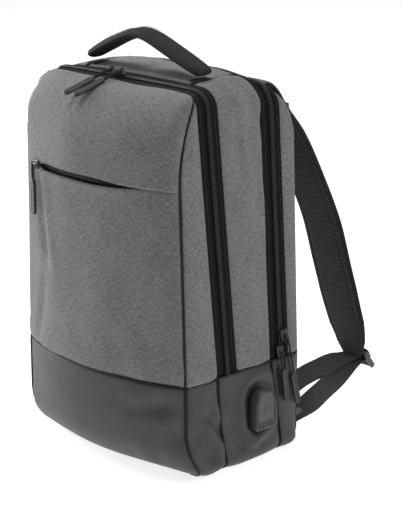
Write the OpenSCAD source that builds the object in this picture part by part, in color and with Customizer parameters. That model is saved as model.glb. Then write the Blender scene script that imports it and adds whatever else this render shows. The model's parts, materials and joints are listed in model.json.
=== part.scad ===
// Laptop backpack with a coated base, two U-shaped zips and a USB port on its right side.
// Millimetres, +Z up. The origin is on the base's underside, midway between front and back.
// The front faces -Y, the wearer is on the +Y side, and the USB port is on +X.

/* [Body] */
// Full width at the seam between the base and the cloth
body_w = 267; // [255:1:280]
// Full width just under the top corners
top_w = 246; // [236:1:255]
// Full depth, from the fullest point of the front to the back panel
body_d = 210; // [200:1:220]
// Height of the roof
body_h = 438; // [430:1:446]
// Height of the seam where the coated base meets the cloth
seam_z = 116; // [105:1:125]
// Thickness of a padded wall with its lining
wall = 3; // [2.5:0.1:3.5]

/* [Zips] */
// Width of a zip's dark band, both tapes together
zip_band = 28; // [24:1:30]
// Width of the closed coil
coil_w = 6; // [5:0.5:7]
// How far the coil stands out of its tape
coil_h = 1.4; // [1:0.1:1.6]
// Height of the front pocket's zip
pocket_z = 332; // [325:1:340]

/* [Straps] */
// Width of a padded shoulder strap
strap_w = 60; // [54:1:62]
// Thickness of a padded shoulder strap
strap_t = 13; // [10:1:14]
// Width of the adjusting webbing
web_w = 25; // [20:1:25]

/* [Handle] */
// Distance between the feet of the carry handle
handle_span = 166; // [150:2:170]
// Rise of the handle's middle line above its feet
handle_rise = 35; // [30:1:38]
// Width of the handle, front to back
handle_w = 26; // [22:1:28]
// Thickness of the handle
handle_t = 11; // [9:1:12]

/* [USB port] */
// Width of the hood
hood_w = 29; // [27:1:31]
// Height of the hood
hood_h = 47; // [44:1:50]
// How far the hood stands out of the side
hood_d = 11; // [10:0.5:13]

/* [Hidden] */
$fn = 32;

front_y = -body_d / 2;
back_y = body_d / 2;
corner_y = front_y + 26;        // where the front face meets the sides
far = 480;                      // above everything
wide = 200;                     // beyond the body on every side
side_x = 100;                   // pieces of one side lie outside this
part_gap = 0.4;                 // half of the gap between pieces of different bodies
half_band = zip_band / 2;
ref_z = 355;                    // height at which the zip lines' upper points are given
front_zip = [-12, -28];         // front zip's y at the seam and at ref_z
main_zip = [72.5, 66];          // main zip's y at the seam and at ref_z

plan_corner_r = 12;
plan_back_r = 18;
low_r = 20;                     // rounding of the base's long lower edges
top_r = 24;                     // rounding of the top corners, seen from the front
crown_r = 1600;                 // arch of the roof, seen from the front
roof_y = 8;                     // highest line of the roof, seen from the side
roof_r = 250;
brow_r = 45;                    // front to roof
nape_r = 30;                    // roof to back
toe_r = 50;                     // front to underside
heel_r = 25;                    // back to underside
fold_start_z = 335;             // above this the front panel's side seam swings back to the zip
fold_end_z = 430;
roof_seam_x = 84;               // cross seams of the gusset, beside the handle's feet

cloth = [0.36, 0.37, 0.39];
coated = [0.13, 0.13, 0.14];
black = [0.06, 0.06, 0.07];
mesh = [0.10, 0.10, 0.11];
web = [0.20, 0.20, 0.22];

function arc(cx, cy, r, a0, a1, n) =
  [for (i = [0:n]) let (a = a0 + (a1 - a0) * i / n) [cx + r * cos(a), cy + r * sin(a)]];
function mirrored(p) = [for (i = [len(p) - 1:-1:0]) [-p[i][0], p[i][1]]];
// y of a zip line at height z
function line_y(line, z) = line[0] + (line[1] - line[0]) * (z - seam_z) / (ref_z - seam_z);
// centre of the top corner, which touches the crown from inside
top_corner_x = top_w / 2 - top_r;
top_corner_z = body_h - crown_r + sqrt(pow(crown_r - top_r, 2) - pow(top_corner_x, 2));
crown_a = 90 - asin(top_corner_x / (crown_r - top_r));
// half width of the body at height z, up to the top corners
taper = (body_w - top_w) / 2 / (top_corner_z - seam_z);
function half_w(z) = z < seam_z ? body_w / 2 : body_w / 2 - taper * (z - seam_z);
roof_z = body_h - roof_r;
function roof_touch_z(r, y) = roof_z + sqrt(pow(roof_r - r, 2) - pow(y - roof_y, 2));
nape_z = roof_touch_z(nape_r, back_y - nape_r);
nape_a = atan2(nape_z - roof_z, back_y - nape_r - roof_y);
brow_z = roof_touch_z(brow_r, front_y + brow_r);
brow_a = atan2(brow_z - roof_z, front_y + brow_r - roof_y);
function roof_at(y) = roof_z + sqrt(pow(roof_r, 2) - pow(y - roof_y, 2));

// the front face is an arc seen from above
plan_x = body_w / 2 - plan_corner_r;
plan_end_x = plan_x + plan_corner_r * cos(66);
front_bulge = corner_y + plan_corner_r - plan_corner_r * sin(66) - front_y;
front_r = (pow(plan_end_x, 2) + pow(front_bulge, 2)) / 2 / front_bulge;
front_a = asin(plan_end_x / front_r);

// ---- body shape -------------------------------------------------------------------------
function plan_half(g) = concat(
  arc(0, front_y + front_r, front_r - g, -90, -90 + front_a, 6),
  arc(plan_x, corner_y + plan_corner_r, plan_corner_r - g, -60, 0, 3),
  arc(body_w / 2 - plan_back_r, back_y - plan_back_r, plan_back_r - g, 0, 90, 5)
);
function outline_half(g) = concat(
  arc(body_w / 2 - low_r, low_r, low_r - g, -90, 0, 5),
  [[body_w / 2 - g, seam_z]],
  arc(top_corner_x, top_corner_z, top_r - g, 2, crown_a, 6),
  [[0, body_h - g]]
);
function side_loop(g) = concat(
  arc(back_y - heel_r, heel_r, heel_r - g, -90, 0, 5),
  arc(back_y - nape_r, nape_z, nape_r - g, 0, nape_a, 5),
  arc(roof_y, roof_z, roof_r - g, nape_a, brow_a, 8),
  arc(front_y + brow_r, brow_z, brow_r - g, brow_a, 180, 7),
  arc(front_y + toe_r, toe_r, toe_r - g, 180, 270, 8)
);
module along_x(w) { rotate([90, 0, 90]) linear_extrude(w, center = true) children(); }
module along_y(d) { rotate([90, 0, 0]) linear_extrude(d, center = true) children(); }
module envelope(g) {
  intersection() {
    linear_extrude(500) polygon(concat(plan_half(g), mirrored(plan_half(g))));
    along_y(400) polygon(concat(outline_half(g), mirrored(outline_half(g))));
    along_x(400) polygon(side_loop(g));
  }
}
// the part of a wall that lies inside the children
module skin(t = wall, proud = 0) {
  difference() {
    intersection() {
      envelope(-proud);
      children();
    }
    envelope(t);
  }
}
// a slab that runs across the bag beside a zip line
module band(line, from, to, z0, z1) {
  along_x(400) polygon([
    [line_y(line, z0) + from, z0], [line_y(line, z0) + to, z0],
    [line_y(line, z1) + to, z1], [line_y(line, z1) + from, z1]
  ]);
}
module block(low, high) { translate(low) cube(high - low); }
cloth_low = seam_z + part_gap;

// everything in front of the front panel's seam, which swings back to the zip at the top
fold_y = line_y(front_zip, fold_end_z) - half_band;
fold_far_y = line_y(front_zip, far) - half_band;
fold = [for (i = [0:5]) [corner_y + (fold_y - corner_y) * pow(i / 5, 2),
  fold_start_z + (fold_end_z - fold_start_z) * i / 5]];
module front_region(z0) {
  along_x(400) polygon(concat([[front_y - 10, z0], [corner_y, z0]], fold,
    [[fold_far_y, far], [front_y - 10, far]]));
}
module side_of(sign) {
  block([sign > 0 ? side_x : -wide, -wide, -1], [sign > 0 ? wide : -side_x, wide, far]);
}

// ---- zips -------------------------------------------------------------------------------
tape_in = 2;                    // a tape is thinner than the wall and sits a little inside it
module tape(line, from, to, coil_from, coil_to) {
  difference() {
    intersection() {
      envelope(0.5);
      band(line, from, to, cloth_low, far);
    }
    envelope(tape_in);
  }
  skin(1, coil_h) band(line, coil_from, coil_to, cloth_low, far);
}
module front_half_tape(line) { tape(line, -half_band, -part_gap, -coil_w / 2, -part_gap); }
module rear_half_tape(line) { tape(line, part_gap, half_band, part_gap, coil_w / 2); }

// A slider in its own frame: +Z out of the cloth, +Y along the track.
slider_l = 14;
slider_w = 10;
slider_lift = 1;                // clear of the coil
slider_t = 1.6;
bail_w = 1.4;
bail_l = 4.6;
bail_h = 5.8;
bail_r = 1.5;                   // eye of the bail, which holds the pull's cord
bail_z = coil_h + 4.4;          // height of the eye, the pull's hinge line
// turn is 0 for an eye across the track and 90 for an eye along it
module slider(turn = 0) {
  translate([-slider_w / 2, -slider_l / 2, coil_h + slider_lift])
    cube([slider_w, slider_l, slider_t]);
  rotate([0, 0, turn]) difference() {
    translate([-bail_w / 2, -bail_l / 2, coil_h + slider_lift]) cube([bail_w, bail_l, bail_h]);
    translate([0, 0, bail_z]) rotate([0, 90, 0])
      cylinder(r = bail_r, h = 2 * bail_w, center = true);
  }
}
// A pull in its own frame: it hangs along -Y from the eye, which it crosses along X.
// The cord is folded in two: a short run through the eye and two legs down to the grip.
cord_t = 1.6;
cord_gap = 2.5;                 // from the middle of the eye to each leg
module pull_cord(length) {
  linear_extrude(cord_t, center = true) difference() {
    translate([-cord_gap - cord_t / 2, -length])
      square([2 * cord_gap + cord_t, length + cord_t / 2]);
    translate([-cord_gap + cord_t / 2, -2 * length])
      square([2 * cord_gap - cord_t, 2 * length - cord_t / 2]);
  }
}
grip_l = 41;
grip_w = 9;
grip_t = 3.8;
grip_rim = 1.4;
module stadium(inset) {
  r = grip_w / 2 - inset;
  for (y = [-grip_w / 2, grip_w / 2 - grip_l]) translate([0, y]) circle(r);
  translate([-r, grip_w / 2 - grip_l]) square([2 * r, grip_l - grip_w]);
}
module pull_grip(length) {
  translate([0, -length, -grip_t / 2]) difference() {
    linear_extrude(grip_t) stadium(0);
    translate([0, 0, grip_t - 0.5]) linear_extrude(1) stadium(grip_rim);
  }
}

// places of the sliders: on the right side, on the roof and on the front face
upper_z = 143;
lower_z = 125;
side_shift = 3.5;               // the two sliders stand a little to each side of the coil
upper_y = line_y(main_zip, upper_z) + side_shift;
lower_y = line_y(main_zip, lower_z) - side_shift;
side_tilt = atan(taper);
module on_side(y, z) {
  translate([half_w(z), y, z]) rotate([0, -side_tilt, 0]) rotate([90, 0, 90]) children();
}
roof_zip_y = -33.3;
roof_tilt = asin((roof_y - roof_zip_y) / roof_r);
left_x = -26;
right_x = -10;
module on_roof(x, turn) {
  translate([x, roof_zip_y, roof_at(roof_zip_y)]) rotate([roof_tilt, 0, 0])
    rotate([0, 0, turn]) children();
}
pocket_x = -88;
pocket_a = asin(pocket_x / front_r);
module on_front(a) {
  translate([0, front_y + front_r, 0]) rotate([0, 0, a]) translate([0, -front_r, pocket_z])
    rotate([90, 0, 0]) children();
}
// hinge points of the pulls, on the bails
upper_bail = [half_w(upper_z) + bail_z, upper_y, upper_z];
lower_bail = [half_w(lower_z) + bail_z, lower_y, lower_z];
roof_bail_y = roof_zip_y - bail_z * sin(roof_tilt);
roof_bail_z = roof_at(roof_zip_y) + bail_z * cos(roof_tilt);
pocket_bail = [(front_r + bail_z) * sin(pocket_a),
  front_y + front_r - (front_r + bail_z) * cos(pocket_a), pocket_z];

// lengths of the cords, and how the pulls hang
upper_cord = 48;
lower_cord = 20;
roof_cord = 24;
pocket_cord = 17;
upper_lean = 14;
lower_lean = 8;
brow_pitch = 17;
brow_yaw = -9;
module hung_on_side(pivot, lean) {
  color(black) translate(pivot) rotate([90, 0, 90]) rotate([0, 0, lean]) children();
}
module hung_on_roof(x) {
  color(black) translate([x, roof_bail_y, roof_bail_z]) rotate([0, 0, brow_yaw])
    rotate([brow_pitch, 0, 0]) children();
}
module hung_on_pocket() {
  color(black) translate(pocket_bail) rotate([0, 0, pocket_a]) rotate([90, 0, 0]) children();
}

// ---- coated base ------------------------------------------------------------------------
base_top = seam_z - part_gap;
bottom_z = 12;                  // the underside panel reaches this high round its edge
corner_seam = [-15, -27];       // front corner seam: y on the ground and at the seam
back_seam = [82, 62];
back_face_y = back_y - 5;       // seam between the side strips and the back panel
module base_slab(y_low, y_high) {
  along_x(400) polygon([[y_low[0], bottom_z], [y_high[0], bottom_z], [y_high[1], base_top],
    [y_low[1], base_top]]);
}
module base_front() {
  color(coated) skin() base_slab([front_y - 10, front_y - 10], [corner_y, corner_y]);
}
module base_corner(sign) {
  color(coated) intersection() {
    skin() base_slab([corner_y, corner_y], corner_seam);
    side_of(sign);
  }
}
module base_side(sign) {
  color(coated) intersection() {
    skin() base_slab(corner_seam, back_seam);
    side_of(sign);
  }
}
module base_back(sign) {
  color(coated) intersection() {
    skin() base_slab(back_seam, [back_face_y, back_face_y]);
    side_of(sign);
  }
}
module base_bottom() { color(coated) skin() block([-wide, -wide, -1], [wide, wide, bottom_z]); }
module base_board() {
  color(black) intersection() {
    envelope(wall);
    block([-116, -60, wall], [116, 78, wall + 3]);
  }
}
divider_t = 2.5;
module base_divider() {
  color(black) intersection() {
    envelope(wall);
    block([-wide, line_y(front_zip, seam_z) + half_band, 2 * wall],
      [wide, line_y(front_zip, seam_z) + half_band + divider_t, base_top]);
  }
}

// ---- back -------------------------------------------------------------------------------
board_t = 5;
module back_panel() {
  color(mesh) skin() block([-wide, back_face_y, bottom_z], [wide, wide, far]);
}
module back_board() {
  color(black) intersection() {
    envelope(wall + 1);
    block([-116, back_y - wall - board_t, 12], [116, back_y - wall, 402]);
  }
}
pad_t = 9;
module pad(x0, x1, z0, z1, r) {
  translate([0, back_y + pad_t / 2, 0]) along_y(pad_t) {
    translate([x0 + r, z0]) square([x1 - x0 - 2 * r, z1 - z0]);
    translate([x0, z0 + r]) square([x1 - x0, z1 - z0 - 2 * r]);
    for (x = [x0 + r, x1 - r], z = [z0 + r, z1 - r]) translate([x, z]) circle(r);
  }
}
module back_pads() {
  color(mesh) {
    pad(14, 104, 150, 362, 20);
    pad(-104, -14, 150, 362, 20);
    pad(-104, 104, 48, 136, 20);
  }
}
module back_strip() {
  color(cloth) skin() difference() {
    band(main_zip, half_band, wide, base_top, far);
    block([-wide, back_face_y, -1], [wide, 2 * wide, far]);
  }
}
sleeve_y = 66;
sleeve_x = 113;
sleeve_top = 290;
module laptop_sleeve() {
  color(black) difference() {
    block([-sleeve_x - 3, sleeve_y, 13], [sleeve_x + 3, back_y - wall - board_t, sleeve_top]);
    block([-sleeve_x, sleeve_y + 3, 16], [sleeve_x, back_y, sleeve_top + 1]);
  }
}
module sleeve_strap() {
  color(black) difference() {
    block([-16, sleeve_y - 2, 262], [16, back_y - wall - board_t, 304]);
    block([-20, sleeve_y, 0], [20, back_y - wall - board_t - 2, 302]);
  }
}

// ---- USB port ---------------------------------------------------------------------------
hood_y = 37;
hood_top = 90;
hood_base_x = body_w / 2;
module hood_outline(inset) {
  r = 11 - inset;
  z0 = hood_top - hood_h + (inset > 0 ? -1 : 0);
  translate([hood_y, 0]) {
    for (s = [-1, 1]) translate([s * (hood_w / 2 - inset - r), hood_top - inset - r]) circle(r);
    translate([-hood_w / 2 + inset + r, z0]) square([hood_w - 2 * inset - 2 * r, hood_top - inset - z0]);
    translate([-hood_w / 2 + inset, z0]) square([hood_w - 2 * inset, hood_top - inset - r - z0]);
  }
}
module hood_slab(x0, x1, inset) {
  translate([(x0 + x1) / 2, 0, 0]) along_x(x1 - x0) hood_outline(inset);
}
module usb_hood() {
  color(black) difference() {
    hood_slab(hood_base_x, hood_base_x + hood_d, 0);
    hood_slab(hood_base_x + 1.6, hood_base_x + hood_d - 1.6, 1.8);
    for (i = [0:5], j = [0:2])
      translate([hood_base_x + hood_d, hood_y - 8.75 + i * 3.5, hood_top - hood_h + 3 + j * 2.8])
        cube([1.4, 1.8, 1.6], center = true);
  }
}
socket_w = 13.2;
socket_d = 5.8;
module usb_socket() {
  x = hood_base_x + hood_d / 2;
  z = hood_top - hood_h + 12;
  color("silver") difference() {
    block([x - 3.6, hood_y - 8, z], [x + 3.6, hood_y + 8, z + 16]);
    block([x - socket_d / 2, hood_y - socket_w / 2, z - 1],
      [x + socket_d / 2, hood_y + socket_w / 2, z + 12]);
  }
}

// ---- opening front parts ----------------------------------------------------------------
module front_panel() { skin() front_region(cloth_low); }
pocket_half = 104;
pocket_slot = 7;
module pocket_box(grow) {
  block([-pocket_half, front_y - 20, pocket_z - pocket_slot - grow],
    [pocket_half, corner_y, pocket_z + pocket_slot + grow]);
}
module front_panel_upper() {
  color(cloth) difference() {
    front_panel();
    block([-wide, -wide, 0], [wide, 0, pocket_z]);
    pocket_box(0);
  }
}
module front_panel_lower() {
  color(cloth) difference() {
    front_panel();
    block([-wide, -wide, pocket_z], [wide, 0, far]);
    pocket_box(0);
  }
}
module pocket_zip_tape() {
  color(black) difference() {
    intersection() {
      envelope(0.8);
      pocket_box(0);
    }
    envelope(wall - 0.6);
    block([-pocket_half + 12, front_y - 20, pocket_z - 2.5], [pocket_half - 8, 0, pocket_z + 2.5]);
  }
}
pouch_y = -82;
module front_pocket() {
  color(black) intersection() {
    envelope(wall);
    difference() {
      block([-100, front_y, 200], [100, pouch_y + 1.5, pocket_z - pocket_slot]);
      block([-98, front_y - 5, 202], [98, pouch_y, pocket_z + 10]);
    }
  }
}
module front_strip(sign) {
  color(cloth) intersection() {
    skin() difference() {
      band(front_zip, -wide, -half_band, cloth_low, far);
      front_region(0);
    }
    side_of(sign);
  }
}
module front_zip_front_tape() { color(black) front_half_tape(front_zip); }
module front_zip_rear_tape() { color(black) rear_half_tape(front_zip); }
module main_zip_front_tape() { color(black) front_half_tape(main_zip); }
module main_zip_rear_tape() { color(black) rear_half_tape(main_zip); }
module gusset() {
  skin() difference() {
    band(front_zip, half_band, wide, cloth_low, far);
    band(main_zip, -half_band, 2 * wide, cloth_low - 1, far + 1);
  }
}
module gusset_side(sign) {
  color(cloth) intersection() {
    gusset();
    block([sign > 0 ? roof_seam_x : -wide, -wide, 0], [sign > 0 ? wide : -roof_seam_x, wide, far]);
  }
}
module gusset_top() {
  color(cloth) intersection() {
    gusset();
    block([-roof_seam_x, -wide, ref_z], [roof_seam_x, wide, far]);
  }
}
module divider() {
  color(black) intersection() {
    envelope(wall);
    band(front_zip, half_band, half_band + divider_t, cloth_low, far);
  }
}
organiser_y = -16;
module organiser_pocket() {
  color(black) difference() {
    block([-112, organiser_y, 118], [112, 1.6, 240]);
    block([-110, organiser_y + 2, 120], [110, 10, 250]);
    band(front_zip, half_band, 100, 100, 300);
  }
}

// ---- handle -----------------------------------------------------------------------------
handle_y = -3;
handle_z = 447;                 // height of the handle's middle line at its feet
function handle_line(x) = handle_z + handle_rise * (1 - pow(abs(x) * 2 / handle_span, 1.6));
module carry_handle() {
  steps = 12;
  xs = [for (i = [-steps:steps]) handle_span / 2 * i / steps];
  color(black) translate([0, handle_y, 0]) along_y(handle_w) polygon(concat(
    [for (x = xs) [x, handle_line(x) - handle_t / 2]],
    [for (i = [len(xs) - 1:-1:0]) [xs[i], handle_line(xs[i]) + handle_t / 2]]
  ));
}
foot_l = 14;
foot_t = 2.4;
foot_x = handle_span / 2 + 1;
module handle_feet() {
  color(black) for (s = [-1, 1]) skin(0, foot_t) sided(s)
    block([foot_x, handle_y - handle_w / 2, seam_z], [foot_x + foot_l, handle_y + handle_w / 2, far]);
}

// ---- shoulder straps --------------------------------------------------------------------
// Middle line of the right strap, from its top seam to its tip, and its width at each point.
strap_route = [
  [54, 111, 417], [54, 118, 408], [56, 132, 384], [59, 160, 350], [62, 184, 305],
  [66, 212, 244], [72, 226, 187], [80, 238, 130], [86, 244, 96], [89, 248, 76]
];
strap_widths = strap_w * [0.13, 0.83, 0.93, 1, 1, 1, 1, 0.97, 0.8, 0.5];
strap_depths = strap_t * [0.46, 0.85, 1, 1, 1, 1, 1, 1, 0.92, 0.62];
// webbing: from the seam at the base's corner to the lock, over its bar, and back as a free tail
web_route = [
  [113, 122, 30], [112, 134, 33], [110, 150, 37], [107, 172, 43], [103, 196, 49], [98, 220, 55],
  [94, 240, 59]
];
tail_route = [
  [86, 238, 66], [86, 226, 67], [87, 210, 66], [88, 192, 64], [88, 172, 62], [88, 152, 58],
  [87, 136, 50], [86, 128, 38], [85, 124, 24], [85, 123, 12]
];
web_t = 1.6;
function unit(v) = v / norm(v);
// direction of travel at point i of a route
function heading(p, i) =
  unit(p[min(i + 1, len(p) - 1)] - p[max(i - 1, 0)]);
// four corners of a flat section at point i, its width along X
function ring(p, i, w, t) = let (h = heading(p, i), up = unit(cross([1, 0, 0], h)),
  side = cross(h, up))
  [p[i] - side * w / 2 - up * t / 2, p[i] + side * w / 2 - up * t / 2,
   p[i] + side * w / 2 + up * t / 2, p[i] - side * w / 2 + up * t / 2];
module strip(p, w, t) {
  n = len(p);
  polyhedron(
    points = [for (i = [0:n - 1]) each ring(p, i, w[i], t[i])],
    faces = concat(
      [[0, 1, 2, 3]],
      [for (i = [0:n - 2], k = [0:3])
        [4 * i + k, 4 * i + 4 + k, 4 * i + 4 + (k + 1) % 4, 4 * i + (k + 1) % 4]],
      [[4 * n - 1, 4 * n - 2, 4 * n - 3, 4 * n - 4]]
    )
  );
}
function same(v, n) = [for (i = [1:n]) v];
module sided(sign) { if (sign > 0) children(); else mirror([1, 0, 0]) children(); }
module shoulder_strap(sign) {
  color(mesh) sided(sign) strip(strap_route, strap_widths, strap_depths);
}
module webbing(sign) {
  color(web) sided(sign) {
    strip(web_route, same(web_w, len(web_route)), same(web_t, len(web_route)));
    strip(tail_route, same(web_w, len(tail_route)), same(web_t, len(tail_route)));
  }
}
// The lock is a frame with two slots; the strap's loop takes one and the webbing the other.
lock_w = 33;
lock_l = 30;
lock_t = 5;
module ladder_lock(sign) {
  color(black) sided(sign) translate([89, 263, 61]) rotate([-38, 0, 0])
    difference() {
      translate([-lock_w / 2, -lock_l / 2, -lock_t / 2]) cube([lock_w, lock_l, lock_t]);
      for (y = [-8.5, 3]) translate([-13.5, y, -5]) cube([27, 5.5, 10]);
    }
}
module strap_tabs() {
  color(black) for (s = [-1, 1])
    translate([s * 54, 0, 0]) block([-24, back_y, 388], [24, back_y + 3, 400]);
}
module webbing_tabs() {
  color(web) for (s = [-1, 1]) sided(s)
    block([100, back_y, 20], [126, back_y + 10, 40]);
}

// ---- parts ------------------------------------------------------------------------------
module main_slider_upper() { color(black) on_side(upper_y, upper_z) slider(); }
module main_slider_lower() { color(black) on_side(lower_y, lower_z) slider(); }
module front_slider_left() { color(black) on_roof(left_x, 90) slider(90); }
module front_slider_right() { color(black) on_roof(right_x, -90) slider(90); }
module pocket_slider() { color(black) on_front(pocket_a) rotate([0, 0, -90]) slider(90); }

base_front();
base_corner(-1);  // base_corner_left
base_corner(1);  // base_corner_right
base_side(-1);  // base_side_left
base_side(1);  // base_side_right
base_back(-1);  // base_back_left
base_back(1);  // base_back_right
base_bottom();
base_board();
base_divider();
back_panel();
back_board();
back_pads();
back_strip();
main_zip_rear_tape();
laptop_sleeve();
sleeve_strap();
usb_hood();
usb_socket();
strap_tabs();
webbing_tabs();
main_slider_lower();
gusset_side(-1);  // gusset_left
gusset_side(1);  // gusset_right
gusset_top();
main_zip_front_tape();
front_zip_rear_tape();
divider();
organiser_pocket();
handle_feet();
carry_handle();
front_panel_upper();
front_panel_lower();
front_strip(-1);  // front_strip_left
front_strip(1);  // front_strip_right
front_zip_front_tape();
pocket_zip_tape();
front_pocket();
main_slider_upper();
front_slider_left();
front_slider_right();
pocket_slider();
hung_on_side(upper_bail, upper_lean) pull_cord(upper_cord);  // main_pull_upper_cord
hung_on_side(upper_bail, upper_lean) pull_grip(upper_cord);  // main_pull_upper_grip
hung_on_side(lower_bail, lower_lean) pull_cord(lower_cord);  // main_pull_lower_cord
hung_on_side(lower_bail, lower_lean) pull_grip(lower_cord);  // main_pull_lower_grip
hung_on_roof(left_x) pull_cord(roof_cord);  // front_pull_left_cord
hung_on_roof(left_x) pull_grip(roof_cord);  // front_pull_left_grip
hung_on_roof(right_x) pull_cord(roof_cord);  // front_pull_right_cord
hung_on_roof(right_x) pull_grip(roof_cord);  // front_pull_right_grip
hung_on_pocket() pull_cord(pocket_cord);  // pocket_pull_cord
hung_on_pocket() pull_grip(pocket_cord);  // pocket_pull_grip
shoulder_strap(-1);  // shoulder_strap_left
shoulder_strap(1);  // shoulder_strap_right
ladder_lock(-1);  // ladder_lock_left
ladder_lock(1);  // ladder_lock_right
webbing(-1);  // webbing_left
webbing(1);  // webbing_right
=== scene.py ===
"""Looks of a laptop backpack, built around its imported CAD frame.

Shapes are worked out in millimetres and become metres when a mesh is made. The front faces -Y,
the wearer is on the +Y side and +Z is up. The skin is one closed surface, body(), and every
panel, tape and seam is a stretch of that surface between two lines.
"""

import json
import math

import bpy
import numpy as np
from mathutils import Matrix, Vector

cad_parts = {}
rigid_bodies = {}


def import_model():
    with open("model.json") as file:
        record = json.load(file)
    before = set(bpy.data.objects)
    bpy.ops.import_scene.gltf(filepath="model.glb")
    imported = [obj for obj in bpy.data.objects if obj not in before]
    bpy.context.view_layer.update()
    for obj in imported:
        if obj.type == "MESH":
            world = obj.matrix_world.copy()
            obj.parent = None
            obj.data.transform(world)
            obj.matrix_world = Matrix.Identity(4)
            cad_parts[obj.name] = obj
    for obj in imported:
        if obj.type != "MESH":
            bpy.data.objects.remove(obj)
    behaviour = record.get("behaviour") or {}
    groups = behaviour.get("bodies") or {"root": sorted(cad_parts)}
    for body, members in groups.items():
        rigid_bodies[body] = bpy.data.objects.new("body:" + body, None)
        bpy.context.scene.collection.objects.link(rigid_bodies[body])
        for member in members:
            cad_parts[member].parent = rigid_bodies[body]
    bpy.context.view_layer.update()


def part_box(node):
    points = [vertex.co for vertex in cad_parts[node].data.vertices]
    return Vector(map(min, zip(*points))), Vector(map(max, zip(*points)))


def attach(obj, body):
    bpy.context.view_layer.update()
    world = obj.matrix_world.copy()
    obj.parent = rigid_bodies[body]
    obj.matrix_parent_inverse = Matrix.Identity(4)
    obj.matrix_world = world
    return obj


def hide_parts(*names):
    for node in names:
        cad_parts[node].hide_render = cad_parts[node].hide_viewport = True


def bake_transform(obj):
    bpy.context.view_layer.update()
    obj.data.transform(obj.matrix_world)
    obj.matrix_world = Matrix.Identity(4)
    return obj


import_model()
MM = 0.001
SIDES = ((1, "right"), (-1, "left"))
RIGHT, FORWARD, BACKWARD, UP, DOWN = (1, 0, 0), (0, -1, 0), (0, 1, 0), (0, 0, 1), (0, 0, -1)


def node_box(node):
    """Lowest and highest corner of a CAD node, in millimetres."""
    low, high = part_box(node)
    return np.array(low) / MM, np.array(high) / MM


# ---- sizes taken from the frame ----------------------------------------------------------
HALF_W = node_box("base_side_right")[1][0]
FRONT_Y = node_box("base_front")[0][1]
BACK_Y = node_box("back_panel")[1][1]
BODY_H = node_box("gusset_top")[1][2]
SEAM_Z = round(node_box("gusset_right")[0][2])
REF_Z = 355.0  # height at which the zip lines' upper points are given
TOP_HALF_W = 123.0
HALF_BAND = 14.0  # half of a zip's dark band
TOP_R = 24.0
LOW_R = 20.0
CORNER_R = 9.0
BACK_R = 8.0
CROWN_R = 1600.0
ROOF_R = 250.0
ROOF_Y = 8.0
BROW_R = 45.0
NAPE_R = 60.0
TOE_R = 50.0
HEEL_R = 25.0
FRONT_R = 308.9  # the front face is an arc seen from above
CORNER_Y = FRONT_Y + 30.5  # where the front face meets the sides
BACK_EDGE_Y = BACK_Y - 1.5  # seam round the back panel
FOLD_Z = (335.0, 430.0)  # the front panel's side seam swings back to the zip between these
SWEEP_Z, SWEEP_H, SWEEP_Y = 62.0, 54.0, 23.0  # near the underside that seam sweeps back
SWELL, SWELL_AT, SWELL_REACH = 7.0, (40.0, 63.0), (45.0, 35.0)  # the roof over the pads, in x and y
FLAT_DEPTH, FLAT_HALF_W, FLAT_TOP = 15.0, 121.0, 75.0  # the front's bulge fades near the ground
ROUND_R, ROUND_Y = (15.0, 38.0), (-60.0, 80.0)  # radius of the roof's side edges, front to back

TOP_X = TOP_HALF_W - TOP_R
TOP_Z = BODY_H - CROWN_R + math.sqrt((CROWN_R - TOP_R) ** 2 - TOP_X**2)
TAPER = (HALF_W - TOP_HALF_W) / (TOP_Z - SEAM_Z)

# Cloth that crosses the joints is made as two objects, cut at SPLIT_Z.
SPLIT_Z = 212.0


# ---- the camera --------------------------------------------------------------------------
AZIMUTH, ELEVATION, ROLL = 46.518, 16.023, -0.506
DISTANCE = 2.1383
LOOK_AT = (0.0, 0.017, 0.215)
LENS, SHIFT = 130.94, (0.0741, 0.0062)


def make_camera():
    a, e, r = (math.radians(v) for v in (AZIMUTH, ELEVATION, ROLL))
    back = Vector((math.sin(a) * math.cos(e), -math.cos(a) * math.cos(e), math.sin(e)))
    side = Vector((math.cos(a), math.sin(a), 0))
    up = back.cross(side)
    side, up = side * math.cos(r) + up * math.sin(r), up * math.cos(r) - side * math.sin(r)
    data = bpy.data.cameras.new("camera")
    data.sensor_width = 36.0
    data.lens = LENS
    data.shift_x, data.shift_y = SHIFT
    data.clip_end = 60.0
    cam = bpy.data.objects.new("camera", data)
    m = Matrix(((side.x, up.x, back.x), (side.y, up.y, back.y), (side.z, up.z, back.z)))
    cam.matrix_world = Matrix.Translation(Vector(LOOK_AT) + back * DISTANCE) @ m.to_4x4()
    bpy.context.scene.collection.objects.link(cam)
    bpy.context.scene.camera = cam


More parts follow.
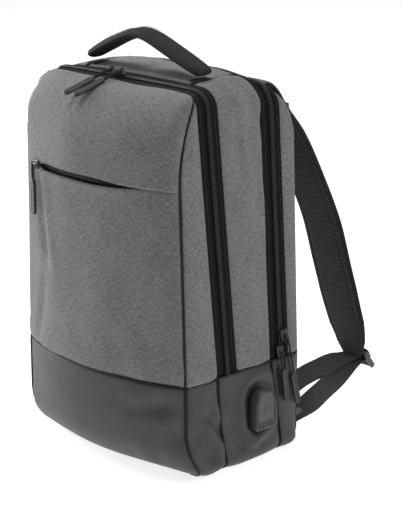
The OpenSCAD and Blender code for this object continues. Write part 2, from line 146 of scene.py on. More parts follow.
# ---- materials ---------------------------------------------------------------------------
class Nodes:
    """A material's node tree with short calls. Cloth reads the map "weave", in millimetres."""

    def __init__(self, name, **sockets):
        self.material = bpy.data.materials.new(name)
        self.material.use_nodes = True
        self.tree = self.material.node_tree
        self.shader = self.tree.nodes["Principled BSDF"]
        for key, value in sockets.items():
            self.shader.inputs[key.replace("_", " ")].default_value = value
        self.uv = self.add("ShaderNodeUVMap", uv_map="weave").outputs["UV"]

    def add(self, kind, **props):
        node = self.tree.nodes.new(kind)
        for key, value in props.items():
            setattr(node, key, value)
        return node

    def link(self, a, b):
        self.tree.links.new(a, b)

    def object_space(self):
        return self.add("ShaderNodeTexCoord").outputs["Object"]

    def scaled(self, vector, scale):
        node = self.add("ShaderNodeMapping")
        node.inputs["Scale"].default_value = scale
        self.link(vector, node.inputs["Vector"])
        return node.outputs["Vector"]

    def noise(self, vector, size, detail, rough=0.5):
        """Noise whose blotches measure size = (along u, along v, along w)."""
        node = self.add("ShaderNodeTexNoise")
        node.inputs["Scale"].default_value = 1.0
        node.inputs["Detail"].default_value = detail
        node.inputs["Roughness"].default_value = rough
        self.link(self.scaled(vector, [1 / s for s in size]), node.inputs["Vector"])
        return node.outputs["Fac"]

    def wave(self, vector, pitch, axis):
        """Ridges of that pitch across the axis "X" or "Y"."""
        node = self.add("ShaderNodeTexWave", bands_direction=axis)
        node.inputs["Scale"].default_value = math.pi / 10 / pitch
        self.link(vector, node.inputs["Vector"])
        return node.outputs["Fac"]

    def math(self, kind, a, b=None):
        node = self.add("ShaderNodeMath", operation=kind)
        for socket, value in zip(node.inputs, (a, b)):
            if isinstance(value, (int, float)):
                socket.default_value = value
            elif value is not None:
                self.link(value, socket)
        return node.outputs["Value"]

    def mix(self, a, share_a, b, share_b):
        return self.math("ADD", self.math("MULTIPLY", a, share_a), self.math("MULTIPLY", b, share_b))

    def ramp(self, factor, low, high, start=0.3, end=0.7):
        node = self.add("ShaderNodeValToRGB")
        node.color_ramp.elements[0].position = start
        node.color_ramp.elements[1].position = end
        node.color_ramp.elements[0].color = (*low, 1)
        node.color_ramp.elements[1].color = (*high, 1)
        self.link(factor, node.inputs["Fac"])
        return node.outputs["Color"]

    def spread(self, factor, low, high):
        node = self.add("ShaderNodeMapRange")
        node.inputs["To Min"].default_value = low
        node.inputs["To Max"].default_value = high
        self.link(factor, node.inputs["Value"])
        return node.outputs["Result"]

    def colour(self, value):
        self.link(value, self.shader.inputs["Base Color"])

    def rough(self, value):
        self.link(value, self.shader.inputs["Roughness"])

    def bump(self, height, depth, strength):
        node = self.add("ShaderNodeBump")
        node.inputs["Strength"].default_value = strength
        node.inputs["Distance"].default_value = depth * MM
        self.link(height, node.inputs["Height"])
        self.link(node.outputs["Normal"], self.shader.inputs["Normal"])


def grey(value):
    return (value, value, value)


def heather(name, dark, light):
    """Two-tone polyester: pale and dark yarns in a plain weave."""
    n = Nodes(name, Sheen_Weight=0.10, Sheen_Roughness=0.5, Specular_IOR_Level=0.25)
    weft = n.noise(n.uv, (7.0, 0.6, 1), 1.0, 0.5)
    warp = n.noise(n.uv, (0.6, 4.0, 1), 1.0, 0.5)
    cloud = n.noise(n.uv, (45.0, 60.0, 1), 2.0)
    yarn = n.math("MULTIPLY", n.math("ADD", weft, warp), 0.5)
    mixed = n.mix(yarn, 0.88, cloud, 0.12)
    n.colour(n.ramp(mixed, grey(dark), grey(light), 0.38, 0.62))
    n.rough(n.spread(yarn, 0.72, 0.95))
    weave = n.math("MULTIPLY", n.wave(n.uv, 0.9, "X"), n.wave(n.uv, 0.9, "Y"))
    n.bump(n.math("ADD", weave, n.math("MULTIPLY", yarn, 0.8)), 0.22, 0.6)
    return n.material


def coated_cloth(name, level):
    """Smooth polyurethane skin with a fine grain, scuffed a little lighter in places."""
    n = Nodes(name, Specular_IOR_Level=0.45)
    grain = n.noise(n.uv, (0.7, 0.7, 1), 3.0)
    cloud = n.noise(n.uv, (30.0, 22.0, 1), 3.0)
    scuff = n.noise(n.uv, (9.0, 2.5, 1), 4.0, 0.7)
    mixed = n.mix(cloud, 0.6, scuff, 0.4)
    n.colour(n.ramp(mixed, grey(level * 0.85), grey(level * 1.25), 0.35, 0.68))
    n.rough(n.spread(n.math("ADD", n.math("MULTIPLY", grain, 0.4), scuff), 0.34, 0.58))
    n.bump(n.math("ADD", grain, n.math("MULTIPLY", scuff, 0.4)), 0.10, 0.5)
    return n.material


def ribbed(name, level, pitch, axis, depth, rough):
    """Woven tape or webbing with ribs of that pitch."""
    n = Nodes(name, Specular_IOR_Level=0.18)
    rib = n.wave(n.uv, pitch, axis)
    cross = n.wave(n.uv, pitch * 0.6, "Y" if axis == "X" else "X")
    fibre = n.noise(n.uv, (0.8, 0.8, 1), 2.0)
    cloud = n.noise(n.uv, (22.0, 30.0, 1), 2.0)
    mixed = n.mix(rib, 0.35, fibre, 0.35)
    mixed = n.math("ADD", mixed, n.math("MULTIPLY", cloud, 0.3))
    n.colour(n.ramp(mixed, grey(level * 0.6), grey(level * 1.5), 0.25, 0.75))
    n.rough(n.spread(fibre, rough - 0.1, rough + 0.15))
    n.bump(n.math("ADD", rib, n.math("MULTIPLY", cross, 0.5)), depth, 0.7)
    return n.material


CELL = 4.8  # pitch of the open knit on the straps and the back


def air_mesh(name, level):
    """Spacer mesh: a soft knit with a lattice of holes whose dark is painted shade; the geometry repeats
    the lattice.
    """
    n = Nodes(name, Specular_IOR_Level=0.2)
    apart = n.add("ShaderNodeSeparateXYZ")
    n.link(n.uv, apart.inputs["Vector"])
    turns = 2 * math.pi / CELL
    # The holes are painted near black: painted shade for their depth.
    hole_shade = n.math("MULTIPLY", n.math("SINE", n.math("MULTIPLY", apart.outputs["X"], turns)),
                   n.math("SINE", n.math("MULTIPLY", apart.outputs["Y"], turns)))
    fibre = n.noise(n.uv, (0.7, 0.7, 1), 2.0)
    mixed = n.mix(hole_shade, 0.7, fibre, 0.3)
    n.colour(n.ramp(mixed, grey(level * 1.7), grey(level * 0.12), 0.12, 0.55))
    n.rough(n.spread(fibre, 0.75, 0.95))
    n.bump(fibre, 0.3, 0.6)
    return n.material


def moulded(name, level, rough):
    """Moulded plastic or rubber: a fine spark-eroded grain, edges rubbed a little lighter and painted
    shade that darkens the hollows.
    """
    n = Nodes(name, Specular_IOR_Level=0.45)
    where = n.object_space()
    fine = n.noise(where, (0.35 * MM,) * 3, 2.0)
    cloud = n.noise(where, (9 * MM,) * 3, 3.0)
    # Pointiness lightens sharp edges as rubbed wear and darkens hollows as painted shade.
    edge = n.add("ShaderNodeNewGeometry").outputs["Pointiness"]
    rubbed_edges_and_hollow_shade = n.mix(cloud, 0.5, edge, 0.5)
    n.colour(n.ramp(rubbed_edges_and_hollow_shade, grey(level * 0.8), grey(level * 1.5), 0.42, 0.60))
    n.rough(n.spread(fine, rough - 0.08, rough + 0.14))
    n.bump(fine, 0.05, 0.5)
    return n.material


def metal(name, level, rough):
    n = Nodes(name, Metallic=1.0)
    where = n.object_space()
    brushed = n.noise(where, (0.2 * MM, 3 * MM, 0.2 * MM), 2.0)
    n.colour(n.ramp(brushed, grey(level * 0.8), grey(level * 1.15)))
    n.rough(n.spread(brushed, rough - 0.06, rough + 0.1))
    n.bump(brushed, 0.02, 0.4)
    return n.material


GREY_CLOTH = heather("grey_cloth", 0.070, 0.215)
COATED = coated_cloth("coated", 0.026)
TAPE = ribbed("zip_tape", 0.0028, 1.1, "X", 0.15, 0.8)
COIL = moulded("zip_coil", 0.010, 0.30)
PIPING = ribbed("piping", 0.008, 1.2, "Y", 0.1, 0.55)
THREAD = ribbed("thread", 0.03, 0.8, "Y", 0.1, 0.6)
HANDLE_CLOTH = ribbed("handle_cloth", 0.022, 1.0, "X", 0.2, 0.75)
LINING = ribbed("lining", 0.02, 0.8, "X", 0.1, 0.6)
WEBBING = ribbed("webbing", 0.045, 1.6, "Y", 0.35, 0.7)
MESH = air_mesh("air_mesh", 0.036)
STRAP_CLOTH = heather("strap_cloth", 0.055, 0.14)
HOOD = moulded("hood_plastic", 0.040, 0.42)
RUBBER = moulded("grip_rubber", 0.009, 0.42)
BUCKLE = moulded("buckle_plastic", 0.030, 0.38)
SLIDER = moulded("slider_metal", 0.020, 0.28)
BOARD = moulded("stiffener", 0.03, 0.6)
STEEL = metal("socket_steel", 0.55, 0.30)
LINED_CLOTH, LINED_COATED = [GREY_CLOTH, LINING], [COATED, LINING]


# ---- meshes ------------------------------------------------------------------------------
GROUND = 0.2  # cloth that lies on the ground stays just clear of it


class Build:
    """Gathers vertices, faces, texture places and materials of one piece."""

    def __init__(self):
        self.verts, self.faces, self.uvs, self.slots, self.count = [], [], [], [], 0

    def add(self, verts, faces, uv=None, slot=0):
        verts = np.asarray(verts, float).reshape(-1, 3)
        uv = verts[:, :2] if uv is None else np.asarray(uv, float).reshape(-1, 2)
        self.verts.append(verts)
        self.uvs.append(uv)
        self.faces += [[i + self.count for i in f] for f in faces]
        self.slots += [slot] * len(faces)
        self.count += len(verts)
        return self

    def arrays(self):
        return np.concatenate(self.verts), np.concatenate(self.uvs)

    def objects(self, name, materials, cut_z=None):
        """One object, or two, name_low and name_high, cut at a height where rows of vertices lie."""
        verts, uvs = self.arrays()
        verts[:, 2] = np.maximum(verts[:, 2], GROUND)
        whole = make_mesh(name, verts, self.faces, uvs, self.slots, materials)
        if cut_z is None:
            return [new_object(name, whole)]
        normals = np.zeros(len(verts) * 3)
        whole.vertices.foreach_get("normal", normals)
        normals = normals.reshape(-1, 3)
        made = []
        centre = [verts[f][:, 2].mean() for f in self.faces]
        for part, keep in (("low", lambda z: z < cut_z), ("high", lambda z: z >= cut_z)):
            chosen = [i for i, z in enumerate(centre) if keep(z)]
            used = sorted({v for i in chosen for v in self.faces[i]})
            index = {v: k for k, v in enumerate(used)}
            faces = [[index[v] for v in self.faces[i]] for i in chosen]
            slots = [self.slots[i] for i in chosen]
            mesh = make_mesh(f"{name}_{part}", verts[used], faces, uvs[used], slots, materials)
            mesh.normals_split_custom_set_from_vertices(normals[used])
            made.append(new_object(f"{name}_{part}", mesh))
        bpy.data.meshes.remove(whole)
        return made


def make_mesh(name, verts, faces, uvs, slots, materials):
    mesh = bpy.data.meshes.new(name)
    mesh.from_pydata((verts * MM).tolist(), [], faces)
    layer = mesh.uv_layers.new(name="weave")
    corners = np.zeros(len(mesh.loops), int)
    mesh.loops.foreach_get("vertex_index", corners)
    layer.data.foreach_set("uv", uvs[corners].astype(np.float32).ravel())
    for m in materials:
        mesh.materials.append(m)
    mesh.polygons.foreach_set("material_index", slots)
    mesh.polygons.foreach_set("use_smooth", [True] * len(mesh.polygons))
    mesh.update()
    return mesh


def new_object(name, mesh):
    obj = bpy.data.objects.new(name, mesh)
    bpy.context.scene.collection.objects.link(obj)
    return obj


def unit(v):
    return v / np.maximum(np.linalg.norm(v, axis=-1, keepdims=True), 1e-9)


def quads(rows, cols, start=0, flip=False, closed=False):
    """Faces of a grid of vertices, row after row. closed joins the last column to the first."""
    out = []
    for i in range(rows - 1):
        for j in range(cols if closed else cols - 1):
            k = (j + 1) % cols
            f = [i * cols + j, i * cols + k, (i + 1) * cols + k, (i + 1) * cols + j]
            out.append([start + v for v in (f[::-1] if flip else f)])
    return out


def lengths(line):
    """Distance along a line of points, starting at 0."""
    steps = np.linalg.norm(np.diff(line, axis=0), axis=1)
    return np.concatenate([[0], np.cumsum(steps)])


def place(objs, how, node=()):
    """Lets pieces ride on a body given by name; pieces given as "front" or "flap" are left where they are,
    on no body.
    """
    for i, obj in enumerate(objs):
        if how == "front" or (how == "flap" and i == 0):
            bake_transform(obj)
        elif how == "flap":
            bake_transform(obj)
        else:
            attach(obj, how)
    if node:
        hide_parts(*([node] if isinstance(node, str) else node))
    return objs


# ---- the body's skin ---------------------------------------------------------------------
def rounded(a, b, r):
    """Two half spaces met by a fillet of radius r."""
    return np.minimum(np.maximum(a, b), -r) + np.hypot(np.maximum(a + r, 0), np.maximum(b + r, 0))


def soft_max(a, b, k):
    h = np.maximum(k - np.abs(a - b), 0) / k
    return np.maximum(a, b) + h * h * k / 4


def half_w(z):
    return HALF_W - TAPER * np.maximum(z - SEAM_Z, 0)


def swell(x, y):
    """The roof is fuller towards the back, where the pads push it up."""
    across = (x - SWELL_AT[0]) / SWELL_REACH[0]
    along = (y - SWELL_AT[1]) / SWELL_REACH[1]
    return SWELL * np.exp(-(along**2) - across**2)


def flattened(x, z):
    """How far the front's bulge is drawn back towards the straight lower edge."""
    across = np.clip(1 - (x / FLAT_HALF_W) ** 2, 0, 1)
    return FLAT_DEPTH * across * np.clip((FLAT_TOP - z) / FLAT_TOP, 0, 1) ** 1.5


def body(p):
    """Roughly the distance outside the bag's skin; negative inside."""
    x, y, z = np.abs(p[..., 0]), p[..., 1], p[..., 2]
    side = x - half_w(z)
    front = np.hypot(x, y - FRONT_Y - FRONT_R) - FRONT_R + flattened(x, z)
    back = y - BACK_Y
    over = z - swell(x, y) - BODY_H
    roof = np.hypot(y - ROOF_Y, over + ROOF_R) - ROOF_R
    crown = np.hypot(x, over + CROWN_R) - CROWN_R
    back_share = np.clip((y - ROUND_Y[0]) / (ROUND_Y[1] - ROUND_Y[0]), 0, 1)
    top_r = ROUND_R[0] + (ROUND_R[1] - ROUND_R[0]) * back_share
    low = -z
    plan = np.maximum(rounded(side, front, CORNER_R), rounded(side, back, BACK_R))
    outline = np.maximum(rounded(side, crown, top_r), rounded(side, low, LOW_R))
    above = np.maximum(rounded(front, roof, BROW_R), rounded(back, roof, NAPE_R))
    below = np.maximum(rounded(front, low, TOE_R), rounded(back, low, HEEL_R))
    return soft_max(soft_max(plan, outline, 3), np.maximum(above, below), 3)


def slope(p):
    """Gradient of body()."""
    step = 0.05
    out = [body(p + step * e) - body(p - step * e) for e in np.eye(3)]
    return np.stack(out, -1) / (2 * step)


def snap(p):
    """Moves points on to the skin."""
    for _ in range(14):
        g = slope(p)
        p = p - (body(p) / np.maximum((g * g).sum(-1), 0.2))[..., None] * g
    return p


def outward(p):
    return unit(slope(p))


def cast(origin, direction, y_of=None):
    """Where rays from inside meet the skin. y_of(z) keeps each point on a line on the bag."""
    near, away = np.zeros(len(origin)), np.full(len(origin), 130.0)
    for _ in range(34):
        t = (near + away) / 2
        p = origin + t[:, None] * direction
        if y_of:
            p[:, 1] = y_of(p[:, 2])
        inside = body(p) < 0
        near, away = np.where(inside, t, near), np.where(inside, away, t)
    return p


def listed(*columns):
    """Arrays of numbers as the columns of one list."""
    return np.stack(np.broadcast_arrays(*columns), -1).reshape(-1, len(columns))


def shoot(x, y, z, way):
    """Where parallel rays from the points (x, y, z) meet the skin."""
    origin = listed(x, y, z).astype(float)
    return cast(origin, np.tile(np.array(way, float), (len(origin), 1)))


# ---- lines on the bag, as y for a height z -----------------------------------------------
def zip_line(low_y, ref_y):
    return lambda z: low_y + (ref_y - low_y) * (z - SEAM_Z) / (REF_Z - SEAM_Z)


front_zip = zip_line(-12.0, -28.0)
main_zip = zip_line(72.5, 66.0)


def shifted(line, by):
    return lambda z: line(z) + by


def between(a, b, t):
    return lambda z: a(z) * (1 - t) + b(z) * t


def piping_line(z):
    """The seam between the front panel and the strip beside it, down to the underside."""
    up = np.clip((z - FOLD_Z[0]) / (FOLD_Z[1] - FOLD_Z[0]), 0, 1)
    top = front_zip(FOLD_Z[1]) - HALF_BAND
    down = np.clip((SWEEP_Z - z) / SWEEP_H, 0, 1.2)
    return CORNER_Y + (top - CORNER_Y) * up**2 + SWEEP_Y * down**2


def corner_line(z):
    return np.interp(z, [-10, 10, 30, 60, 90, SEAM_Z], [-7, -10, -16, -21.5, -24.5, -26])


def back_line(z):
    return np.interp(z, [-10, SEAM_Z], [81, 58.5])


def edge_line(z):
    return BACK_EDGE_Y + 0 * z


HOOP_X, HOOP_Z = 90.0, 402.0  # the rays round the top corner fan out from here


def hoop(whole=True, step=4.0):
    """Rays that run up the right side, over the roof and down the left side."""
    cuts = [SEAM_Z, SPLIT_Z, HOOP_Z]
    zs = np.concatenate([np.linspace(a, b, int((b - a) / step) + 1)[:-1] for a, b in zip(cuts, cuts[1:])])
    turn = np.radians(np.linspace(0, 90, 19))
    rays = [(HOOP_X, z, 1, 0) for z in zs]
    rays += [(HOOP_X, HOOP_Z, math.cos(a), math.sin(a)) for a in turn]
    rays += [(x, HOOP_Z, 0, 1) for x in np.linspace(HOOP_X, 0, 20)[1:]]
    right = np.array(rays)
    if not whole:
        return right
    left = right[:-1][::-1] * [-1, 1, -1, 1]
    return np.vstack([right, left])


def low_rays():
    """Rays from the seam down the right side and under the rounded lower edge."""
    x0, z0 = HALF_W - 30, 28.0
    rays = [(x0, z, 1, 0) for z in np.linspace(SEAM_Z, z0, int((SEAM_Z - z0) / 4) + 1)[:-1]]
    rays += [(x0, z0, math.cos(a), math.sin(a)) for a in np.radians(np.linspace(0, -84, 15))]
    return np.array(rays)


def trace(rays, y_of):
    """The line y_of(z) on the skin, found along rays given as (x, z, x step, z step)."""
    x, z, step_x, step_z = rays.T
    return cast(listed(x, 0.0, z), listed(step_x, 0.0, step_z), y_of)


def fine_edges(count, edge):
    """Places from 0 to 1, close together at both ends."""
    inner = np.linspace(edge * 2.2, 1 - edge * 2.2, count)
    return np.concatenate([[0, edge * 0.4, edge], inner, [1 - edge, 1 - edge * 0.4, 1]])


def ruled(rays, a, b, cols):
    """Rows by columns of points between two lines."""
    return np.stack([trace(rays, between(a, b, t)) for t in cols], 1)


# ---- folds of cloth ----------------------------------------------------------------------
def ripple(x, y, seed, size):
    """Smooth uneven waves, about -1 to 1, the same each run."""
    rng = np.random.default_rng(seed)
    total = 0 * x
    for k in range(6):
        angle, phase = rng.uniform(0, 2 * math.pi, 2)
        f = 2 * math.pi / (size * rng.uniform(0.7, 1.6))
        total = total + np.sin((x * math.cos(angle) + y * math.sin(angle)) * f + phase) / (1 + k)
    return total / 1.8


def crease(u, v, start, end, width, depth):
    """A fold from start to end on the flat cloth: a valley with a soft ridge beside it."""
    a, d = np.array(start, float), np.array(end, float) - np.array(start, float)
    span = np.hypot(*d)
    along = ((u - a[0]) * d[0] + (v - a[1]) * d[1]) / span
    off = ((u - a[0]) * -d[1] + (v - a[1]) * d[0]) / span
    fade = np.clip(np.minimum(along, span - along) / (0.35 * span) + 0.35, 0, 1)
    fade = fade * fade * (3 - 2 * fade)
    valley = -np.exp(-((off / width) ** 2))
    ridge = 0.7 * np.exp(-(((off - 1.7 * width) / (1.2 * width)) ** 2))
    return depth * fade * (valley + ridge)


def folded(lift, u, v, *folds):
    """lift with folds added, each given as (start, end, width, depth)."""
    for fold in folds:
        lift = lift + crease(u, v, *fold)
    return lift


def tuck(distance, depth, width):
    """Cloth that turns in towards its seam."""
    return -depth * (1 - np.clip(distance / width, 0, 1)) ** 2


def flat_places(points):
    """u across and v along a grid, in millimetres, measured on the cloth."""
    across = np.stack([lengths(row) for row in points])
    u = across - across[:, -1:] / 2
    v = lengths(points[:, points.shape[1] // 2])[:, None] + 0 * u
    return u, v


def panel(points, thick, lift, flip=False, lining=True):
    """A padded cloth panel: the outside from points raised by lift, the inside lined."""
    rows, cols = points.shape[:2]
    normal = outward(points)
    outer = points + normal * lift[..., None]
    inner = points + normal * (-thick + np.minimum(lift, 0)[..., None])
    places = np.stack(flat_places(points), -1).reshape(-1, 2)
    n = rows * cols
    made = Build()
    made.add(np.concatenate([outer.reshape(-1, 3), inner.reshape(-1, 3)]),
             quads(rows, cols, 0, flip), np.concatenate([places, places]))
    inside = quads(rows, cols, n, not flip)
    edge = ([i * cols for i in range(rows)] + [(rows - 1) * cols + j for j in range(1, cols)]
            + [i * cols + cols - 1 for i in range(rows - 2, -1, -1)]
            + [j for j in range(cols - 2, 0, -1)])
    rim = [[a, b, b + n, a + n] for a, b in zip(edge, edge[1:] + edge[:1])]
    rim = [f[::-1] for f in rim] if flip else rim
    made.faces += inside + rim
    made.slots += [1 if lining else 0] * len(inside) + [0] * len(rim)
    return made


TUBE_SIDES = 8


def tube(line, radius, made=None, slot=0):
    """A round cord along a line, with closed ends."""
    made = made or Build()
    line = np.asarray(line, float)
    t = unit(np.gradient(line, axis=0))
    side = unit(np.cross(t[0], [0.31, 0.17, 0.93]))
    rings = []
    for p, d in zip(line, t):
        side = unit(side - d * (side @ d))
        other = np.cross(d, side)
        angle = np.arange(TUBE_SIDES) * 2 * math.pi / TUBE_SIDES
        rings.append(p + radius * (np.outer(np.cos(angle), side) + np.outer(np.sin(angle), other)))
    n = len(line)
    u = np.tile(np.arange(TUBE_SIDES) * 2 * math.pi * radius / TUBE_SIDES, n)
    v = np.repeat(lengths(line), TUBE_SIDES)
    faces = quads(n, TUBE_SIDES, 0, False, True)
    faces += [list(range(TUBE_SIDES))[::-1], [(n - 1) * TUBE_SIDES + k for k in range(TUBE_SIDES)]]
    return made.add(np.concatenate(rings), faces, np.stack([u, v], -1), slot)


def even(line, n):
    """n points at an even spacing along a line of any dimension."""
    line = np.asarray(line, float)
    d = lengths(line)
    at = np.linspace(0, d[-1], n)
    return np.stack([np.interp(at, d, line[:, k]) for k in range(line.shape[1])], -1)


def resample(line, step):
    """Points at an even spacing along a line, as near to step as fits."""
    return even(line, max(2, int(round(lengths(line)[-1] / step)) + 1))


def smooth_line(line, times=2):
    line = np.array(line, float)
    for _ in range(times):
        line[1:-1] = (line[:-2] + 2 * line[1:-1] + line[2:]) / 4
    return line


def bricks(line, normal, size, made, slot=0):
    """Small rounded bars along a line: stitches, or the teeth of a coil.

    size is a bar's length, width and height."""
    made = made or Build()
    length, width, height = size
    t = unit(np.gradient(line, axis=0))
    normal = np.broadcast_to(np.asarray(normal, float), line.shape)
    across = unit(np.cross(normal, t))
    for p, d, n, c in zip(line, t, normal, across):
        corners = []
        for h, f in ((-0.3 * height, 1.0), (0.55 * height, 0.95), (height, 0.55)):
            for a, b in ((-1, -1), (1, -1), (1, 1), (-1, 1)):
                corners.append(p + d * a * length / 2 * f + c * b * width / 2 * f + n * h)
        faces = quads(3, 4, 0, True, True) + [[11, 10, 9, 8], [0, 1, 2, 3]]
        made.add(corners, [f[::-1] for f in faces], None, slot)
    return made


STITCH = (2.3, 0.7, 0.5)


def stitches(line, lift, pitch, made, slot):
    """A row of stitches on the skin along a line."""
    line = resample(line, pitch)
    n = outward(line)
    return bricks(line + n * lift, n, (pitch * 0.72, 0.7, 0.45), made, slot)


def for_side(made, sign):
    """The piece as it is on the right, or mirrored for the left."""
    if sign > 0:
        return made
    other = Build()
    verts, uvs = made.arrays()
    other.add(verts * [-1, 1, 1], [f[::-1] for f in made.faces], uvs)
    other.slots = list(made.slots)
    return other


make_camera()


# ---- webbing: the free cords, made first -------------------------------------------------
WEB_W, WEB_T = 25.0, 1.6
# From the seam at the base's corner to the lock's near bar, and back as a free tail.
WEB_ROUTE = [
    (113, 108, 27), (113, 122, 30), (112, 134, 33), (110, 150, 37), (107, 172, 43),
    (103, 196, 49), (98, 220, 55), (94, 240, 59), (91, 256, 61), (89, 268, 63),
]
TAIL_ROUTE = [
    (88, 268, 65), (87, 254, 66), (86, 238, 66), (86, 226, 67), (87, 210, 66), (88, 192, 64),
    (88, 172, 62), (88, 152, 58), (87, 136, 50), (86, 128, 38), (85, 124, 24), (85, 123, 12),
]


def curve_through(points, step):
    """A smooth curve through points, resampled evenly."""
    p = np.array(points, float)
    p = np.vstack([2 * p[0] - p[1], p, 2 * p[-1] - p[-2]])
    out = []
    for a, b, c, d in zip(p, p[1:], p[2:], p[3:]):
        for t in np.linspace(0, 1, 12, endpoint=False):
            out.append(0.5 * (2 * b + (c - a) * t + (2 * a - 5 * b + 4 * c - d) * t * t
                              + (3 * b - a - 3 * c + d) * t**3))
    out.append(p[-2])
    return resample(np.array(out), step)


def frames(line, across):
    """The two directions across a flat band whose width lies along across."""
    t = unit(np.gradient(line, axis=0))
    side = unit(np.broadcast_to(across, line.shape) - t * (t * across).sum(-1, keepdims=True))
    return side, np.cross(side, t)


def band(line, width, thick, turn):
    """Flat webbing along a line; turn is its twist at each point, in degrees."""
    side, up = frames(line, np.array([1.0, 0, 0]))
    a = np.radians(turn)[:, None]
    side, up = side * np.cos(a) + up * np.sin(a), up * np.cos(a) - side * np.sin(a)
    shape = [(-0.5, 0), (-0.46, 0.4), (-0.2, 0.5), (0.2, 0.5), (0.46, 0.4),
             (0.5, 0), (0.46, -0.4), (0.2, -0.5), (-0.2, -0.5), (-0.46, -0.4)]
    rings = np.stack([line + side * (width * s) + up * (thick * h) for s, h in shape], 1)
    n, k = len(line), len(shape)
    u = np.tile([s * width for s, _ in shape], n)
    v = np.repeat(lengths(line), k)
    faces = quads(n, k, 0, True, True) + [list(range(k)), [(n - 1) * k + j for j in range(k)][::-1]]
    return Build().add(rings.reshape(-1, 3), faces, np.stack([u, v], -1))


def make_webbing():
    for sign, name in SIDES:
        line = curve_through(WEB_ROUTE, 4.0) * [sign, 1, 1]
        share = np.linspace(0, 1, len(line))
        turn = -sign * 62 * np.sin(math.pi * np.clip(share / 0.86, 0, 1)) ** 2
        run = band(line, WEB_W, WEB_T, turn).objects(f"webbing_run_{name}", [WEBBING])
        place(run, f"{name}_strap", f"webbing_{name}")
        tail_line = curve_through(TAIL_ROUTE, 4.0) * [sign, 1, 1]
        share = np.linspace(0, 1, len(tail_line))
        turn = sign * 38 * np.sin(math.pi * np.clip(share, 0, 1)) ** 2
        tail = band(tail_line, WEB_W, WEB_T, turn).objects(f"webbing_tail_{name}", [WEBBING])
        place(tail, f"{name}_strap")


make_webbing()


# ---- coated base -------------------------------------------------------------------------
def front_patch(right, centre, cols):
    """Cloth between a line on the right, its mirror image and a centre line (y, z)."""
    u = np.asarray(cols) * 2 - 1
    rows = []
    for r, (cy, cz) in zip(right, centre):
        x = u * r[0]
        arc = FRONT_R - np.sqrt(FRONT_R**2 - x**2)
        row = np.stack([x, cy + arc, cz + 0 * x], -1)
        fix = r - np.array([r[0], cy + arc[-1], cz])
        rows.append(row + (np.abs(u) ** 3)[:, None] * [0, fix[1], fix[2]])
    return snap(np.array(rows))


def centre_profile(low):
    """The middle line of the front: down to the underside, or up over the brow."""
    y0 = FRONT_Y + TOE_R
    if low:
        rays = [(y0, z, -1, 0) for z in np.linspace(SEAM_Z, TOE_R, 20)[:-1]]
        rays += [(y0, TOE_R, math.cos(a), math.sin(a)) for a in np.radians(np.linspace(180, 269, 30))]
    else:
        z0 = TOP_Z - 26
        rays = [(y0, z, -1, 0) for z in np.linspace(SEAM_Z, z0, 60)[:-1]]
        rays += [(y0, z0, math.cos(a), math.sin(a)) for a in np.radians(np.linspace(180, 91, 30))]
        rays += [(y, z0, 0, 1) for y in np.linspace(y0, -20, 12)]
    y, z, step_y, step_z = np.array(rays).T
    return cast(listed(0.0, y, z), listed(0.0, step_y, step_z))[:, 1:]


def edge_distance(points):
    """Distance along the cloth to the nearest of the two side edges, and to the row ends."""
    u, v = flat_places(points)
    d = np.minimum(u - u[:, :1], u[:, -1:] - u)
    return d, np.minimum(v - v[:1], v[-1:] - v)


def hood_distance(y, z):
    """Distance outside the hood's outline on the side of the base."""
    low, high = node_box("usb_hood")
    cy, cz = (low[1] + high[1]) / 2, (low[2] + high[2]) / 2
    dy = np.abs(y - cy) - (high[1] - low[1]) / 2
    dz = np.abs(z - cz) - (high[2] - low[2]) / 2
    return rounded(dy, dz, 11)


BASE_ROWS = 44
BOTTOM_HALF_W, BOTTOM_Y = 104.0, (-42.0, 88.0)
COLS_WIDE = fine_edges(56, 0.012)
COLS_SIDE = fine_edges(22, 0.03)
COLS_STRIP = fine_edges(9, 0.06)


def base_side_lift(points, seed):
    d, e = edge_distance(points)
    y, z = points[..., 1], points[..., 2]
    lift = tuck(d, 2.2, 7) + 2.4 * np.clip(d / 26, 0, 1) ** 0.7 - 1.0
    return lift + 0.5 * ripple(y, z, seed, 55) * np.clip(d / 14, 0, 1) + tuck(e, 0.8, 5)


